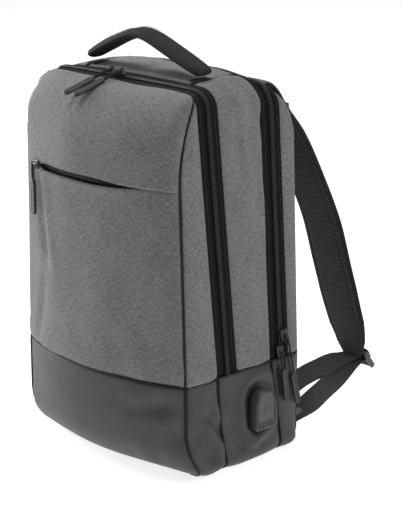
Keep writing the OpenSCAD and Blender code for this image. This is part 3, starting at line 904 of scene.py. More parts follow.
def make_base():
    right = even(trace(low_rays(), piping_line), BASE_ROWS)
    centre = even(centre_profile(True), BASE_ROWS)
    p = front_patch(right, centre, COLS_WIDE)
    d, _ = edge_distance(p)
    x, z = p[..., 0], p[..., 2]
    lift = tuck(d, 1.2, 6) + 0.9 * ripple(x, z * 0.6, 3, 120)
    lift = folded(lift, x, z, ((60, 78), (118, 98), 9, 2.2), ((80, 16), (126, 70), 10, 3.6))
    lift += tuck(np.abs(z - SEAM_Z), 1.0, 5)
    place(panel(p, 2.5, lift).objects("base_front_cover", LINED_COATED),
          "pack", "base_front")
    lines = [piping_line, corner_line, back_line, edge_line]
    for k, name in enumerate(("corner", "side", "back")):
        p = ruled(low_rays(), lines[k], lines[k + 1], COLS_SIDE if name == "side" else COLS_STRIP)
        y, z = p[..., 1], p[..., 2]
        for sign, side in SIDES:
            lift = base_side_lift(p, 11 + k + (sign > 0) * 5)
            if name == "corner":
                lift = folded(lift, y, z, ((-64, 66), (-26, 14), 8, 5.5), ((-44, 84), (-20, 44), 6, 3.4))
            if name == "side":
                lift = folded(lift, y, z, ((-14, 66), (22, 18), 8, 4.0), ((26, 14), (68, 36), 7, 3.0),
                              ((4, 34), (30, 10), 6, 1.8))
                if sign > 0:
                    h = hood_distance(y, z)
                    lift += -5.0 * np.exp(-((h / 6.0) ** 2)) + 2.6 * np.exp(-(((h - 14) / 6.5) ** 2))
            made = for_side(panel(p, 2.5, lift), sign)
            place(made.objects(f"base_{name}_cover_{side}", LINED_COATED),
                  "pack", f"base_{name}_{side}")
    u, t = np.meshgrid(np.linspace(-1, 1, 44), np.linspace(0, 1, 34))
    x = BOTTOM_HALF_W * u
    y = BOTTOM_Y[0] + (FRONT_R - np.sqrt(FRONT_R**2 - x**2)) * (1 - t)
    y = y + (BOTTOM_Y[1] - y) * t
    p = shoot(x, y, 40, DOWN).reshape(*x.shape, 3)
    d, e = edge_distance(p)
    lift = -0.3 + tuck(np.minimum(d, e), 1.0, 8)
    place(panel(p, 2.0, lift, flip=True).objects("base_bottom_cover", LINED_COATED),
          "pack", "base_bottom")


make_base()


# ---- cloth upper -------------------------------------------------------------------------
POCKET_Z = 332.0
ROOF_SEAM_X = node_box("gusset_top")[1][0]


def hoop_parts():
    """Rays of the right side, the roof between the cross seams, and the left side."""
    rays = hoop()
    flat = np.where((rays[:, 3] == 1))[0]
    a = flat[np.argmin(np.abs(rays[flat, 0] - ROOF_SEAM_X))]
    b = flat[np.argmin(np.abs(rays[flat, 0] + ROOF_SEAM_X))]
    rays[a, 0], rays[b, 0] = ROOF_SEAM_X, -ROOF_SEAM_X
    return rays[: a + 1], rays[a : b + 1], rays[b:]


def make_gusset():
    a, b = shifted(front_zip, HALF_BAND), shifted(main_zip, -HALF_BAND)
    right, roof, _ = hoop_parts()
    p = ruled(right, a, b, COLS_SIDE)
    y = p[..., 1]
    _, s = flat_places(p)
    for sign, side in SIDES:
        d, _ = edge_distance(p)
        lift = tuck(d, 2.0, 6) + 2.6 * np.clip(d / 24, 0, 1) ** 0.8 - 0.6
        waves = 0.9 * ripple(y, s * 0.35, 21 + sign, 42) + 0.5 * ripple(y, s, 31 + sign, 95)
        lift += waves * np.clip(d / 12, 0, 1)
        lift = folded(lift, y, s, ((18, 330), (52, 262), 8, 2.2), ((4, 300), (16, 215), 6, 1.6),
                      ((38, 200), (48, 120), 7, 1.3))
        lift += tuck(s, 1.2, 5) + tuck(s[-1:] - s, 1.0, 3)
        made = for_side(panel(p, 2.5, lift), sign)
        place(made.objects(f"gusset_cover_{side}", LINED_CLOTH),
              "front", f"gusset_{side}")
    p = ruled(roof, a, b, COLS_SIDE)
    d, e = edge_distance(p)
    lift = tuck(d, 1.6, 5) + tuck(e, 1.0, 3) + 0.9 * np.clip(d / 20, 0, 1)
    lift += 0.8 * ripple(p[..., 0], p[..., 1] * 1.4, 41, 70) * np.clip(d / 10, 0, 1)
    lift += crease(p[..., 0], p[..., 1], (70, 8), (20, 22), 6, 1.6)
    place(panel(p, 2.5, lift).objects("gusset_cover_top", LINED_CLOTH),
          "main_front", "gusset_top")
    for sign, side in SIDES:
        ends = np.linspace(a(REF_Z + 80), b(REF_Z + 80), 30)
        line = shoot(sign * ROOF_SEAM_X, ends, 380, UP)
        seam = tube(smooth_line(line) + [0, 0, -0.2], 0.8)
        place(seam.objects(f"roof_seam_{side}", [PIPING]), "main_front")


def dense(line):
    return trace(hoop(whole=False, step=3.0), line)


def at_height(line, z):
    """Points of a rising line at the given heights."""
    k = int(np.argmax(line[:, 2] > max(z) + 2)) or len(line)
    part = line[: k + 1]
    return np.stack([np.interp(z, part[:, 2], part[:, i]) for i in range(3)], -1)


FRONT_FOLDS = [  # (start, end, width, depth) in x and z
    ((-92, 336), (-72, 214), 9, 4.0), ((96, 190), (122, 330), 10, 1.8),
    ((60, 300), (118, 372), 13, 1.8), ((-20, 150), (26, 128), 12, 0.9),
    ((-96, 118), (-78, 210), 8, 1.5), ((96, 118), (80, 186), 9, 1.2),
]


def make_front():
    rise = np.linspace(0, 1, 30)
    low_z = np.concatenate([np.linspace(SEAM_Z, SPLIT_Z, 25), np.linspace(SPLIT_Z, POCKET_Z, 31)[1:]])
    high_z = POCKET_Z + (FOLD_Z[1] - POCKET_Z) * rise
    side = dense(piping_line)
    middle = centre_profile(False)
    top_y = front_zip(BODY_H) - HALF_BAND
    keep = middle[:, 0] < top_y
    keep[:5] = True
    middle = np.vstack([middle[keep], [[top_y, middle[~keep][0, 1]]]])
    above = middle[middle[:, 1] > POCKET_Z]
    below = np.stack([np.interp(low_z, middle[:60, 1], middle[:60, 0]), low_z], -1)
    above = even(np.vstack([below[-1:], above]), len(rise))
    low = front_patch(at_height(side, low_z), below, COLS_WIDE)
    high = front_patch(at_height(side, high_z), above, COLS_WIDE)
    edge = trace(hoop(), shifted(front_zip, -HALF_BAND))
    edge = edge[(edge[:, 2] >= FOLD_Z[1]) | (np.abs(edge[:, 0]) < 100)]
    u = COLS_WIDE * 2 - 1
    d = lengths(edge[::-1])
    top = np.stack([np.interp((u + 1) / 2 * d[-1], d, edge[::-1][:, k]) for k in range(3)], -1)
    high = snap(high + (rise**1.6)[:, None, None] * (top - high[-1])[None])
    gap = pocket_gap(low[-1, :, 0])
    for grid, way in ((low, -1), (high, 1)):
        reach = np.clip(1 - np.abs(grid[..., 2] - POCKET_Z) / 30, 0, 1) ** 2
        grid[..., 2] += way * gap[None] / 2 * reach
    low, high = snap(low), snap(high)
    for grid, name, how in ((low, "lower", "flap"), (high, "upper", "front_flap")):
        d, _ = edge_distance(grid)
        x, z = grid[..., 0], grid[..., 2]
        inside = np.clip(d / 22, 0, 1)
        lift = tuck(d, 1.6, 6) + 0.9 * ripple(x, z * 0.45, 51, 85) * inside
        lift += 1.1 * ripple(x * 0.5, z, 57, 190) * inside
        lift = folded(lift, x, z, *FRONT_FOLDS)
        near = np.exp(-((np.abs(z - POCKET_Z) / 9) ** 2)) * (np.abs(x) < 106)
        lift += near * pocket_gap(x) * (0.45 if name == "lower" else 0.15)
        lift += tuck(np.abs(z - SEAM_Z), 1.2, 5) + 1.6 * np.exp(-(((z - SEAM_Z - 16) / 12) ** 2))
        place(panel(grid, 2.5, lift).objects(f"front_cover_{name}", LINED_CLOTH,
                                              SPLIT_Z if how == "flap" else None),
              how, f"front_panel_{name}")


def pocket_gap(x):
    """Height of the front pocket's open slit at x."""
    left = np.clip((x + 92) / 26, 0, 1)
    right = np.clip((84 - x) / 70, 0, 1)
    return 8.6 * (left * left * (3 - 2 * left)) * (right * right * (3 - 2 * right)) ** 0.6


def make_strips():
    line = shifted(front_zip, -HALF_BAND)
    rays = hoop(whole=False)
    z = trace(rays, piping_line)[:, 2]
    rays = rays[z < FOLD_Z[1] - 1]
    p = ruled(rays, piping_line, line, COLS_STRIP)
    y, z = p[..., 1], p[..., 2]
    _, s = flat_places(p)
    for sign, side in SIDES:
        d, _ = edge_distance(p)
        lift = tuck(d, 1.6, 5) + 2.4 * np.clip(d / 16, 0, 1) ** 0.8 - 0.5
        above_seam = 2.0 * np.exp(-(((z - SEAM_Z - 14) / 14) ** 2))
        lift += (0.7 * ripple(y, s * 0.3, 61 + sign, 40) + above_seam) * np.clip(d / 10, 0, 1)
        lift += tuck(s, 1.6, 6)
        made = for_side(panel(p, 2.5, lift), sign)
        place(made.objects(f"front_strip_cover_{side}", LINED_CLOTH, SPLIT_Z),
              "flap", f"front_strip_{side}")


def make_back_strip():
    p = ruled(hoop(), shifted(main_zip, HALF_BAND), edge_line, COLS_STRIP)
    d, _ = edge_distance(p)
    _, s = flat_places(p)
    lift = tuck(d, 1.2, 4) + 0.8 * ripple(s * 0.5, p[..., 1], 71, 38) * np.clip(d / 6, 0, 1)
    lift += tuck(np.minimum(s, s[-1:] - s), 1.2, 5)
    place(panel(p, 2.5, lift).objects("back_strip_cover", LINED_CLOTH),
          "pack", "back_strip")


make_gusset()
make_front()
make_strips()
make_back_strip()


# ---- zips --------------------------------------------------------------------------------
COIL_PITCH = 2.5


def coil_half(line_points, sign, phase, made):
    """Teeth of one half of a zip, on the given side of its middle line."""
    line = resample(line_points, COIL_PITCH)
    line = line[:-1] + (line[1:] - line[:-1]) * phase
    n = outward(line)
    t = unit(np.gradient(line, axis=0))
    across = unit(np.cross(n, t)) * sign
    return bricks(line + across * 1.35 - n * 0.9, n, (1.3, 3.6, 1.9), made, 1)


def half_tape(line, sign):
    """Half of a zip's band: sunk cloth tape, a rib beside the coil, the teeth and stitches."""
    inner, outer = 0.35, HALF_BAND + 1.5
    cols = np.array([0, 0.03, 0.1, 0.16, 0.22, 0.26, 0.3, 0.42, 0.58, 0.74, 0.86, 0.94, 1.0])
    cols = cols if sign > 0 else cols[::-1]
    p = np.stack([trace(hoop(), shifted(line, sign * (inner + (outer - inner) * c))) for c in cols], 1)
    d = np.abs(inner + (outer - inner) * cols)[None] + 0 * p[..., 0]
    lift = -1.9 + 0.75 * np.exp(-(((d - 4.3) / 0.8) ** 2)) + 0.9 * np.clip((d - 7.5) / 5, 0, 1) ** 2
    made = panel(p, 1.2, lift, lining=False)
    middle = trace(hoop(step=3.0), line)
    coil_half(middle, 1 if sign < 0 else -1, 0.0 if sign > 0 else 0.5, made)
    seam = trace(hoop(step=3.0), shifted(line, sign * 10.5))
    return stitches(seam, -1.2, 3.4, made, 2)


def make_zips():
    parts = [
        (front_zip, -1, "front_zip_front", "flap", "front_zip_front_tape"),
        (front_zip, 1, "front_zip_rear", "front", "front_zip_rear_tape"),
        (main_zip, -1, "main_zip_front", "front", "main_zip_front_tape"),
        (main_zip, 1, "main_zip_rear", "pack", "main_zip_rear_tape"),
    ]
    for line, sign, name, how, node in parts:
        made = half_tape(line, sign)
        cut = SPLIT_Z if how == "flap" else None
        place(made.objects(f"{name}_band", [TAPE, COIL, THREAD], cut), how, node)


make_zips()


# ---- piping and seams --------------------------------------------------------------------
def back_rim():
    """The seam round the back panel, from one lower corner over the roof to the other."""
    low = trace(low_rays(), edge_line)
    return np.vstack([low[::-1], trace(hoop(), edge_line)[1:], (low * [-1, 1, 1])[1:]])


def make_piping():
    side = dense(piping_line)
    side = side[side[:, 2] < FOLD_Z[1]]
    cloth = smooth_line(resample(side, 4.0))
    cuts = resample(trace(low_rays(), piping_line), 4.0)
    cuts = cuts[cuts[:, 2] > 3]
    for sign, name in SIDES:
        line = cloth - outward(cloth) * 0.9
        k = int(np.argmin(np.abs(line[:, 2] - SPLIT_Z)))
        line[k, 2] = SPLIT_Z
        made = tube(line * [sign, 1, 1], 1.45)
        place(made.objects(f"front_piping_{name}", [PIPING], SPLIT_Z), "flap")
        line = smooth_line(cuts) - outward(cuts) * 0.5
        place(tube(line * [sign, 1, 1], 1.6).objects(f"base_piping_{name}", [PIPING]), "pack")
        for label, rule in (("corner", corner_line), ("back", back_line)):
            line = trace(low_rays(), rule)
            made = tube((smooth_line(line) - outward(line) * 0.9) * [sign, 1, 1], 1.0)
            place(made.objects(f"base_{label}_seam_{name}", [PIPING]), "pack")
    around = seam_loop(SEAM_Z)
    made = tube(around - outward(around) * 0.2, 1.15)
    place(made.objects("waist_seam", [PIPING]), "pack")
    rim = smooth_line(back_rim())
    place(tube(rim - outward(rim) * 1.3, 1.5).objects("back_piping", [PIPING]), "pack")


def seam_loop(z):
    """The skin's line at one height, from the back edge round the front to the other."""
    ys = np.linspace(BACK_EDGE_Y, CORNER_Y + 8, 60)
    right = shoot(80, ys, z, RIGHT)
    front = shoot(np.linspace(right[-1, 0] - 6, 0, 40), -40, z, FORWARD)
    half = smooth_line(np.vstack([right, front]))
    return np.vstack([half, (half[:-1] * [-1, 1, 1])[::-1]])


make_piping()


# ---- closed sheets, pillows and lofts ----------------------------------------------------
def shell(outer, inner, faces, uv, made=None, slots=(0, 0)):
    """A closed sheet from two matching sets of points; its open edges are joined."""
    made = made or Build()
    n = len(outer)
    edges = {(f[i - 1], f[i]) for f in faces for i in range(len(f))}
    rim = [[b, a, a + n, b + n] for a, b in sorted(edges) if (b, a) not in edges]
    back = [[v + n for v in f[::-1]] for f in faces]
    start = len(made.slots)
    made.add(np.concatenate([outer, inner]), faces + back + rim, np.concatenate([uv, uv]), slots[0])
    made.slots[start + len(faces):start + len(faces) + len(back)] = [slots[1]] * len(back)
    return made


def facing(points, faces, way):
    """The faces, turned over if they look away from way."""
    p = np.asarray(points)
    total = sum(np.cross(p[f[1]] - p[f[0]], p[f[2]] - p[f[0]]) for f in faces)
    return faces if total @ np.asarray(way, float) > 0 else [f[::-1] for f in faces]


def solid(verts, faces):
    """The faces of a closed mesh, turned so that they look outward."""
    p = np.asarray(verts)
    volume = sum(p[f[0]] @ np.cross(p[f[k]], p[f[k + 1]]) for f in faces for k in range(1, len(f) - 1))
    return faces if volume > 0 else [f[::-1] for f in faces]


def loft(rings, slots=None, uv=None):
    """A closed tube through rings of points, rings x points x 3, with a slot for each column."""
    n, k = rings.shape[:2]
    verts = rings.reshape(-1, 3)
    faces = quads(n, k, 0, False, True) + [list(range(k))[::-1], [(n - 1) * k + j for j in range(k)]]
    turned = solid(verts, faces)
    if uv is None:
        uv = np.stack([np.tile(lengths(rings[n // 2]), n), np.repeat(lengths(rings.mean(1)), k)], -1)
    made = Build().add(verts, turned, uv)
    if slots is not None:
        made.slots[:(n - 1) * k] = list(slots) * (n - 1)
    return made


def round_box(centre, axes, half, r, made, slot=0):
    """A box with rounded edges; axes are its three directions and half its half sizes."""
    half, axes = np.array(half, float), np.array(axes, float)
    levels = [np.array([-h, -h + 0.586 * r, -h + r, 0, h - r, h - 0.586 * r, h]) for h in half]
    index, verts, faces = {}, [], []
    for a in range(3):
        b, c = (a + 1) % 3, (a + 2) % 3
        for end in (-1, 1):
            grid = []
            for q in levels[b]:
                for w in levels[c]:
                    p = np.zeros(3)
                    p[a], p[b], p[c] = end * half[a], q, w
                    core = np.clip(p, r - half, half - r)
                    p = core + r * unit(p - core)
                    key = tuple(np.round(p, 4))
                    if key not in index:
                        index[key] = len(verts)
                        verts.append(p)
                    grid.append(index[key])
            faces += [[grid[v] for v in f] for f in quads(7, 7, 0, end < 0)]
    local = np.array(verts)
    return made.add(np.asarray(centre) + local @ axes, solid(local @ axes, faces),
                    local[:, :2] + local[:, 2:] * 0.5, slot)


def steps(size, r, count):
    """Places from -size to size, close together within r of both ends."""
    edge = size - r * np.array([0, 0.02, 0.08, 0.2, 0.38, 0.62])
    inner = np.linspace(-(size - r), size - r, count)
    return np.concatenate([-edge, inner, edge[::-1]])


def pillow(half_x, half_z, corner, edge, top, under, where, counts=(12, 16), made=None):
    """A padded form over a rounded outline. top and under give heights from d, x and z, where d is
    the distance in from the outline; where turns (x, z, height) into places on the bag."""
    z = steps(half_z, edge, counts[1])
    u = steps(half_x, edge, counts[0]) / half_x
    past = np.clip(np.abs(z) - (half_z - corner), 0, corner)
    width = half_x - corner + np.sqrt(corner**2 - past**2)
    z, x = z[:, None] + 0 * u[None], u[None] * width[:, None]
    d = np.minimum(-rounded(np.abs(x) - half_x, np.abs(z) - half_z, corner), edge * 3)
    d = np.maximum(d, 0)
    high = where(x, z, top(d, x, z)).reshape(-1, 3)
    low_side = where(x, z, under(d, x, z)).reshape(-1, 3)
    faces = quads(*x.shape)
    faces = facing(high, faces, (high - low_side).sum(0))
    return shell(high, low_side, faces, listed(x, z), made)


def dome(d, edge):
    """1 inside, falling to 0 at the outline in a quarter circle."""
    return np.sqrt(np.clip(1 - (1 - np.clip(d / edge, 0, 1)) ** 2, 0, 1))


def local_frame(origin, along, across, out):
    return lambda x, z, h: (np.asarray(origin, float) + x[..., None] * np.asarray(across)
                            + z[..., None] * np.asarray(along) + h[..., None] * np.asarray(out))


# ---- shoulder straps ---------------------------------------------------------------------
STRAP_W, STRAP_T = 59.0, 12.0
LOCK_TIP = 52.0  # degrees that a lock hangs below level
STRAP_ROUTE = [
    (54, 86, 408), (54, 96, 416), (54, 108, 417), (54, 119, 408), (56, 133, 386), (59, 160, 350),
    (62, 184, 305), (66, 212, 244), (72, 226, 187), (80, 238, 130), (86, 245, 96), (89, 249, 68),
]


def knit(u, v):
    """1 in the holes of the open knit, 0 on its threads."""
    turns = 2 * math.pi / CELL
    return np.clip(np.sin(u * turns) * np.sin(v * turns) - 0.1, 0, 0.9) / 0.9


def strap_width(s):
    """Width as a share of the full width, s from the top end, 0, to the tip, 1."""
    return np.interp(s, [0, 0.04, 0.1, 0.25, 0.8, 0.9, 0.96, 1], [0.80, 0.86, 0.93, 1, 1, 0.93, 0.74, 0.5])


def strap_depth(s):
    return np.interp(s, [0, 0.05, 0.12, 0.9, 0.97, 1], [0.35, 0.6, 1, 1, 0.75, 0.4])


def strap_crown(u):
    """Height of the crowned face at u, -1 to 1 across, as a share of the strap's half thickness."""
    return 0.36 + 0.64 * np.sqrt(max(1 - abs(u) ** 2.6, 0))


def make_strap(sign, name):
    line = curve_through(STRAP_ROUTE, 1.3)
    run = lengths(line)
    s = run / run[-1]
    side, up = frames(line, np.array([1.0, 0, 0]))
    wide, deep = STRAP_W * strap_width(s) / 2, STRAP_T * strap_depth(s) / 2
    across = np.linspace(-0.93, 0.93, 47)
    face = np.linspace(-0.93, 0.93, 17)
    round_edge = np.radians(np.linspace(-70, 70, 7))
    columns, slots = [], []
    for u in face:
        crown = strap_crown(u)
        fold = 0.5 * ripple(run * 0.9 + 0 * s, 40 * u + 0 * s, 83 + sign, 60)
        dent = -1.1 * np.exp(-(((run - 330) / 9) ** 2)) - 0.9 * np.exp(-(((run - 296 - 8 * u) / 7) ** 2))
        columns.append((u * wide, deep * crown + (fold + dent) * (1 - abs(u) ** 3)))
        slots.append(0)
    for a in round_edge[::-1]:
        columns.append((0.955 * wide + 1.9 * np.cos(a) * deep / 6, 2.2 * np.sin(a) * deep / 6))
        slots.append(1)
    for u in across[::-1]:
        crown = strap_crown(u)
        hole = knit(u * wide, run)
        channel = np.exp(-(((abs(u) - 0.74) / 0.035) ** 2))
        inside = min(1.0, 8 * (0.93 - abs(u)))
        columns.append((u * wide, -deep * crown + (1.1 * hole * inside + 1.3 * channel)))
        slots.append(2)
    for a in round_edge:
        columns.append((-0.955 * wide - 1.9 * np.cos(a) * deep / 6, 2.2 * np.sin(a) * deep / 6))
        slots.append(1)
    rings = np.stack([line + side * a[:, None] + up * b[:, None] for a, b in columns], 1)
    rings = rings * [sign, 1, 1]
    offsets = np.stack([a for a, _ in columns], 1)
    uv = np.stack([offsets, np.repeat(run[:, None], len(columns), 1)], -1)
    made = loft(rings, slots=slots, uv=uv)
    strap = made.objects(f"shoulder_strap_cover_{name}", [STRAP_CLOTH, PIPING, MESH])[0]
    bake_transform(strap)
    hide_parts(f"shoulder_strap_{name}")
    made = None
    for edge in (-0.86, 0.86):
        seam = line + side * (edge * wide)[:, None] + up * (deep * 0.62)[:, None]
        seam = resample(seam[(s > 0.13) & (s < 0.95)] * [sign, 1, 1], 3.6)
        out = unit(np.gradient(seam, axis=0))
        normal = unit(np.cross(out, [1.0, 0, 0]))
        normal = np.where(normal[:, 1:2] > 0, normal, -normal)
        made = bricks(seam, normal, (2.5, 0.7, 0.5), made)
    place(made.objects(f"strap_stitches_{name}", [THREAD]), f"{name}_strap")


def make_strap_root(sign):
    """The tab that sews the strap's upper end to the back of the bag."""
    made = Build()
    where = local_frame((sign * 54, 106, 394), (0, 0, 1), (1, 0, 0), (0, 1, 0))
    pillow(25, 7, 3, 2, lambda d, x, z: 1.6 * dome(d, 2), lambda d, x, z: -1.0 + 0 * d, where, made=made)
    for rise in (-4, 4):
        row = listed(sign * 54 + np.linspace(-22, 22, 14), 107.4, 394.0 + rise)
        bricks(row, BACKWARD, (2.4, 0.7, 0.5), made, 1)
    return made


def make_webbing_tab(sign):
    """A triangle of cloth folded over the webbing's end and sewn into the side seam."""
    made = Build()
    t = np.linspace(0, 1, 14)
    u = np.linspace(-1, 1, 13)
    grid = []
    for k in t:
        half = 5 + 9.5 * k**0.8
        y, x, z = 128 - 24 * k, 113 + 5 * k, 31 - 1.5 * k
        grid.append(np.stack([x + 0.30 * half * u, y + 0.08 * half * u, z + half * u * 0.97], -1))
    grid = np.array(grid)
    out = unit(np.cross(grid[-1, -1] - grid[0, 0], grid[-1, 0] - grid[0, -1]))
    bulge = 2.6 * np.sqrt(np.clip(1 - np.abs(u) ** 4, 0, 1)) + 0.5
    high = grid + out * bulge[None, :, None]
    low_side = grid - out * bulge[None, :, None]
    uv = np.stack(np.meshgrid(u * 14, t * 26), -1).reshape(-1, 2)
    high, low_side = high.reshape(-1, 3), low_side.reshape(-1, 3)
    faces = facing(high, quads(14, 13), (high - low_side).sum(0))
    shell(high, low_side, faces, uv, made)
    seam = resample(grid[2] * 0.7 + grid[3] * 0.3 + out * 3.0, 2.6)
    bricks(seam, out, (1.9, 0.6, 0.5), made, 1)
    return for_side(made, sign)


def make_locks(sign, name):
    """A ladder lock: two rails, three bars and a lifting lip; the strap's loop holds it."""
    c = np.array([sign * 89.0, 262, 60])
    tip = math.radians(LOCK_TIP)
    along = np.array([0, math.cos(tip), -math.sin(tip)])
    out = np.array([0, along[2], -along[1]]) * -1
    axes = [np.array([1.0, 0, 0]), along, out]
    made = Build()
    for x in (-14.6, 14.6):
        round_box(c + axes[0] * x + out * 0.2, axes, (2.0, 13.2, 3.4), 1.6, made)
    for y, h, lift in ((-11.6, 2.1, 0.0), (0.4, 1.8, 0.8), (11.4, 2.3, 0.6)):
        round_box(c + along * y + out * lift, axes, (14.6, h, 2.4), 1.5, made)
    round_box(c + along * 13.0 + out * 3.6, axes, (11.0, 1.9, 2.6), 1.5, made)
    place(made.objects(f"ladder_lock_body_{name}", [BUCKLE]), f"{name}_strap",
          f"ladder_lock_{name}")
    loop = [(89, 246, 84), (89, 254, 77), (89, 262, 72), (89, 267, 66), (89, 263, 61), (89, 256, 62),
            (89, 250, 66), (89, 246, 72)]
    line = curve_through(loop, 1.5) * [sign, 1, 1]
    place(band(line, 23.0, 1.6, 0 * line[:, 0]).objects(f"lock_loop_{name}", [WEBBING]),
          f"{name}_strap")


def make_straps():
    tabs, corners = Build(), Build()
    for sign, name in SIDES:
        make_strap(sign, name)
        make_locks(sign, name)
        for whole, piece in ((tabs, make_strap_root(sign)), (corners, make_webbing_tab(sign))):
            verts, uvs = piece.arrays()
            start = len(whole.slots)
            whole.add(verts, piece.faces, uvs)
            whole.slots[start:] = piece.slots
    place(tabs.objects("strap_tab_covers", [PIPING, THREAD]), "pack", "strap_tabs")
    place(corners.objects("webbing_tab_covers", [STRAP_CLOTH, THREAD]), "pack", "webbing_tabs")


make_straps()


# ---- carry handle ------------------------------------------------------------------------
HANDLE_Y = -3.0
HANDLE_REACH = 89.4


def make_handle():
    reach = HANDLE_REACH
    x = np.concatenate([[-reach, 0.4 - reach, 1.4 - reach], np.linspace(3 - reach, reach - 3, 86),
                        [reach - 1.4, reach - 0.4, reach]])
    lean = x + 8 * (1 - (x / reach) ** 2)
    k = 0.22
    share = 1 - (np.hypot(np.abs(lean) / (reach - 2), k) - k) / (math.hypot(1, k) - k)
    z = np.maximum(446.0 + 32.0 * share, 442.5)
    line = smooth_line(np.stack([x, HANDLE_Y + 0 * x, z], -1), 4)
    side, up = frames(line, np.array([0.0, 1, 0]))
    blunt = dome(reach + 0.1 - np.abs(x), 5)
    wide = (12.0 + 1.2 * np.clip((90 - np.abs(x)) / 22, 0, 1)) * (0.72 + 0.28 * blunt)
    deep = (5.2 + 0.9 * np.clip((reach - 2 - np.abs(x)) / 30, 0, 1)) * (0.35 + 0.65 * blunt)
    angle = np.linspace(0, 2 * math.pi, 33)[:-1]
    a = np.sign(np.cos(angle)) * np.abs(np.cos(angle)) ** 0.62
    b = np.sign(np.sin(angle)) * np.abs(np.sin(angle)) ** 0.85
    rings = (line[:, None] + side[:, None] * (wide[:, None] * a)[..., None]
             + up[:, None] * (deep[:, None] * b)[..., None])
    waves = 0.35 * ripple(x[:, None] + 0 * a, 30 * b[None] + 0 * x[:, None], 91, 26)
    rings = rings + waves[..., None] * up[:, None]
    made = loft(rings)
    for edge in (-1, 1):
        seam = line + side * (edge * wide * 0.97)[:, None]
        made = tube(smooth_line(seam[2:-2]), 0.9, made, 1)
        row = line + side * (edge * (wide - 4.5))[:, None] - up * (deep * 0.93)[:, None]
        bricks(resample(row[6:-6], 3.4), UP, STITCH, made, 2)
    handle = made.objects("carry_handle_cover", [HANDLE_CLOTH, PIPING, THREAD])[0]
    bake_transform(handle)
    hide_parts("carry_handle")
    feet = Build()
    for sign in (-1, 1):
        xs, ys = np.meshgrid(np.linspace(-6, 6, 16), np.linspace(-12, 12, 20))
        p = shoot(sign * 82 + xs, HANDLE_Y + ys, 400, UP)
        n = outward(p)
        d = -rounded(np.abs(xs) - 6, np.abs(ys) - 12, 2).ravel()
        high = p + n * (0.6 + 1.5 * dome(d, 1.5))[:, None]
        faces = facing(high, quads(20, 16), (0, 0, 1))
        shell(high, p - n * 0.6, faces, listed(xs, ys), feet)
        for off in (-1, 1):
            row = resample(p.reshape(20, 16, 3)[1:-1, 8 + off * 5] + [0, 0, 2.1], 2.8)
            bricks(row, UP, (2.0, 0.7, 0.5), feet, 1)
    place(feet.objects("handle_feet_covers", [HANDLE_CLOTH, THREAD]), "main_front", "handle_feet")


make_handle()


# ---- sliders and pulls -------------------------------------------------------------------
def make_slider(name, body_name, node, origin, along, across, out, cross=False):
    """A zip's slider: a tapered shell that hugs the coil, with a bail over its back."""
    axes = [np.array(across, float), np.array(along, float), np.array(out, float)]
    o = np.array(origin, float)
    made = Build()
    round_box(o + axes[2] * 1.6 + axes[1] * 2.2, axes, (5.0, 4.6, 1.5), 1.3, made)
    round_box(o + axes[2] * 1.6 - axes[1] * 3.4, axes, (3.6, 3.6, 1.5), 1.3, made)
    round_box(o + axes[2] * 2.6, axes, (1.7, 6.0, 1.2), 0.8, made)
    turn = axes[0] if cross else axes[1]
    arch = np.radians(np.linspace(0, 180, 15))
    line = (o + 2.4 * axes[2] + np.outer(3.2 * np.cos(arch), turn)
            + np.outer(5.0 * np.sin(arch) ** 0.8, axes[2]))
    tube(line, 0.8, made)
    place(made.objects(name, [SLIDER]), body_name, node)


PULL_STEP = 1.2  # spacing of the points along a pull's cord
GRIP_LENGTH = 41.0


def make_pull(name, body_name, nodes, pivot, down, across, out, length):
    """A cord looped through the bail and a rubber grip moulded on its ends."""
    p, d, a, n = (np.array(v, float) for v in (pivot, down, across, out))
    path = [(-1.3, length + 3), (-1.9, length - 2), (-2.5, length * 0.55), (-2.3, 4.5), (-1.5, 1.2),
            (0, 0), (1.5, 1.2), (2.3, 4.5), (2.5, length * 0.55), (1.9, length - 2), (1.3, length + 3)]
    line = curve_through([p + a * x + d * y for x, y in path], PULL_STEP)
    made = tube(line, 0.95)
    place(made.objects(f"{name}_cord_loop", [PIPING]), body_name, nodes[0])
    where = local_frame(p + d * (length + GRIP_LENGTH / 2), -d, a, n)
    made = pillow(4.6, GRIP_LENGTH / 2, 4.5, 1.7,
                  lambda e, x, z: 2.0 * dome(e, 1.5) - 0.6 * np.clip((e - 1.5) / 0.4, 0, 1)
                  + 0.35 * np.clip((e - 1.9) / 0.4, 0, 1) * (np.cos(z * 1.5) > 0.2),
                  lambda e, x, z: -2.0 * dome(e, 1.5), where, (10, 56))
    place(made.objects(f"{name}_grip_body", [RUBBER]), body_name, nodes[1])


def bail_points():
    """Where the sliders sit and the pulls hang, from the nodes' own boxes."""
    def middle(node):
        low, high = node_box(node)
        return (low + high) / 2
    return {n: middle(n) for n in ("main_slider_upper", "main_slider_lower", "front_slider_left",
                                   "front_slider_right", "pocket_slider")}


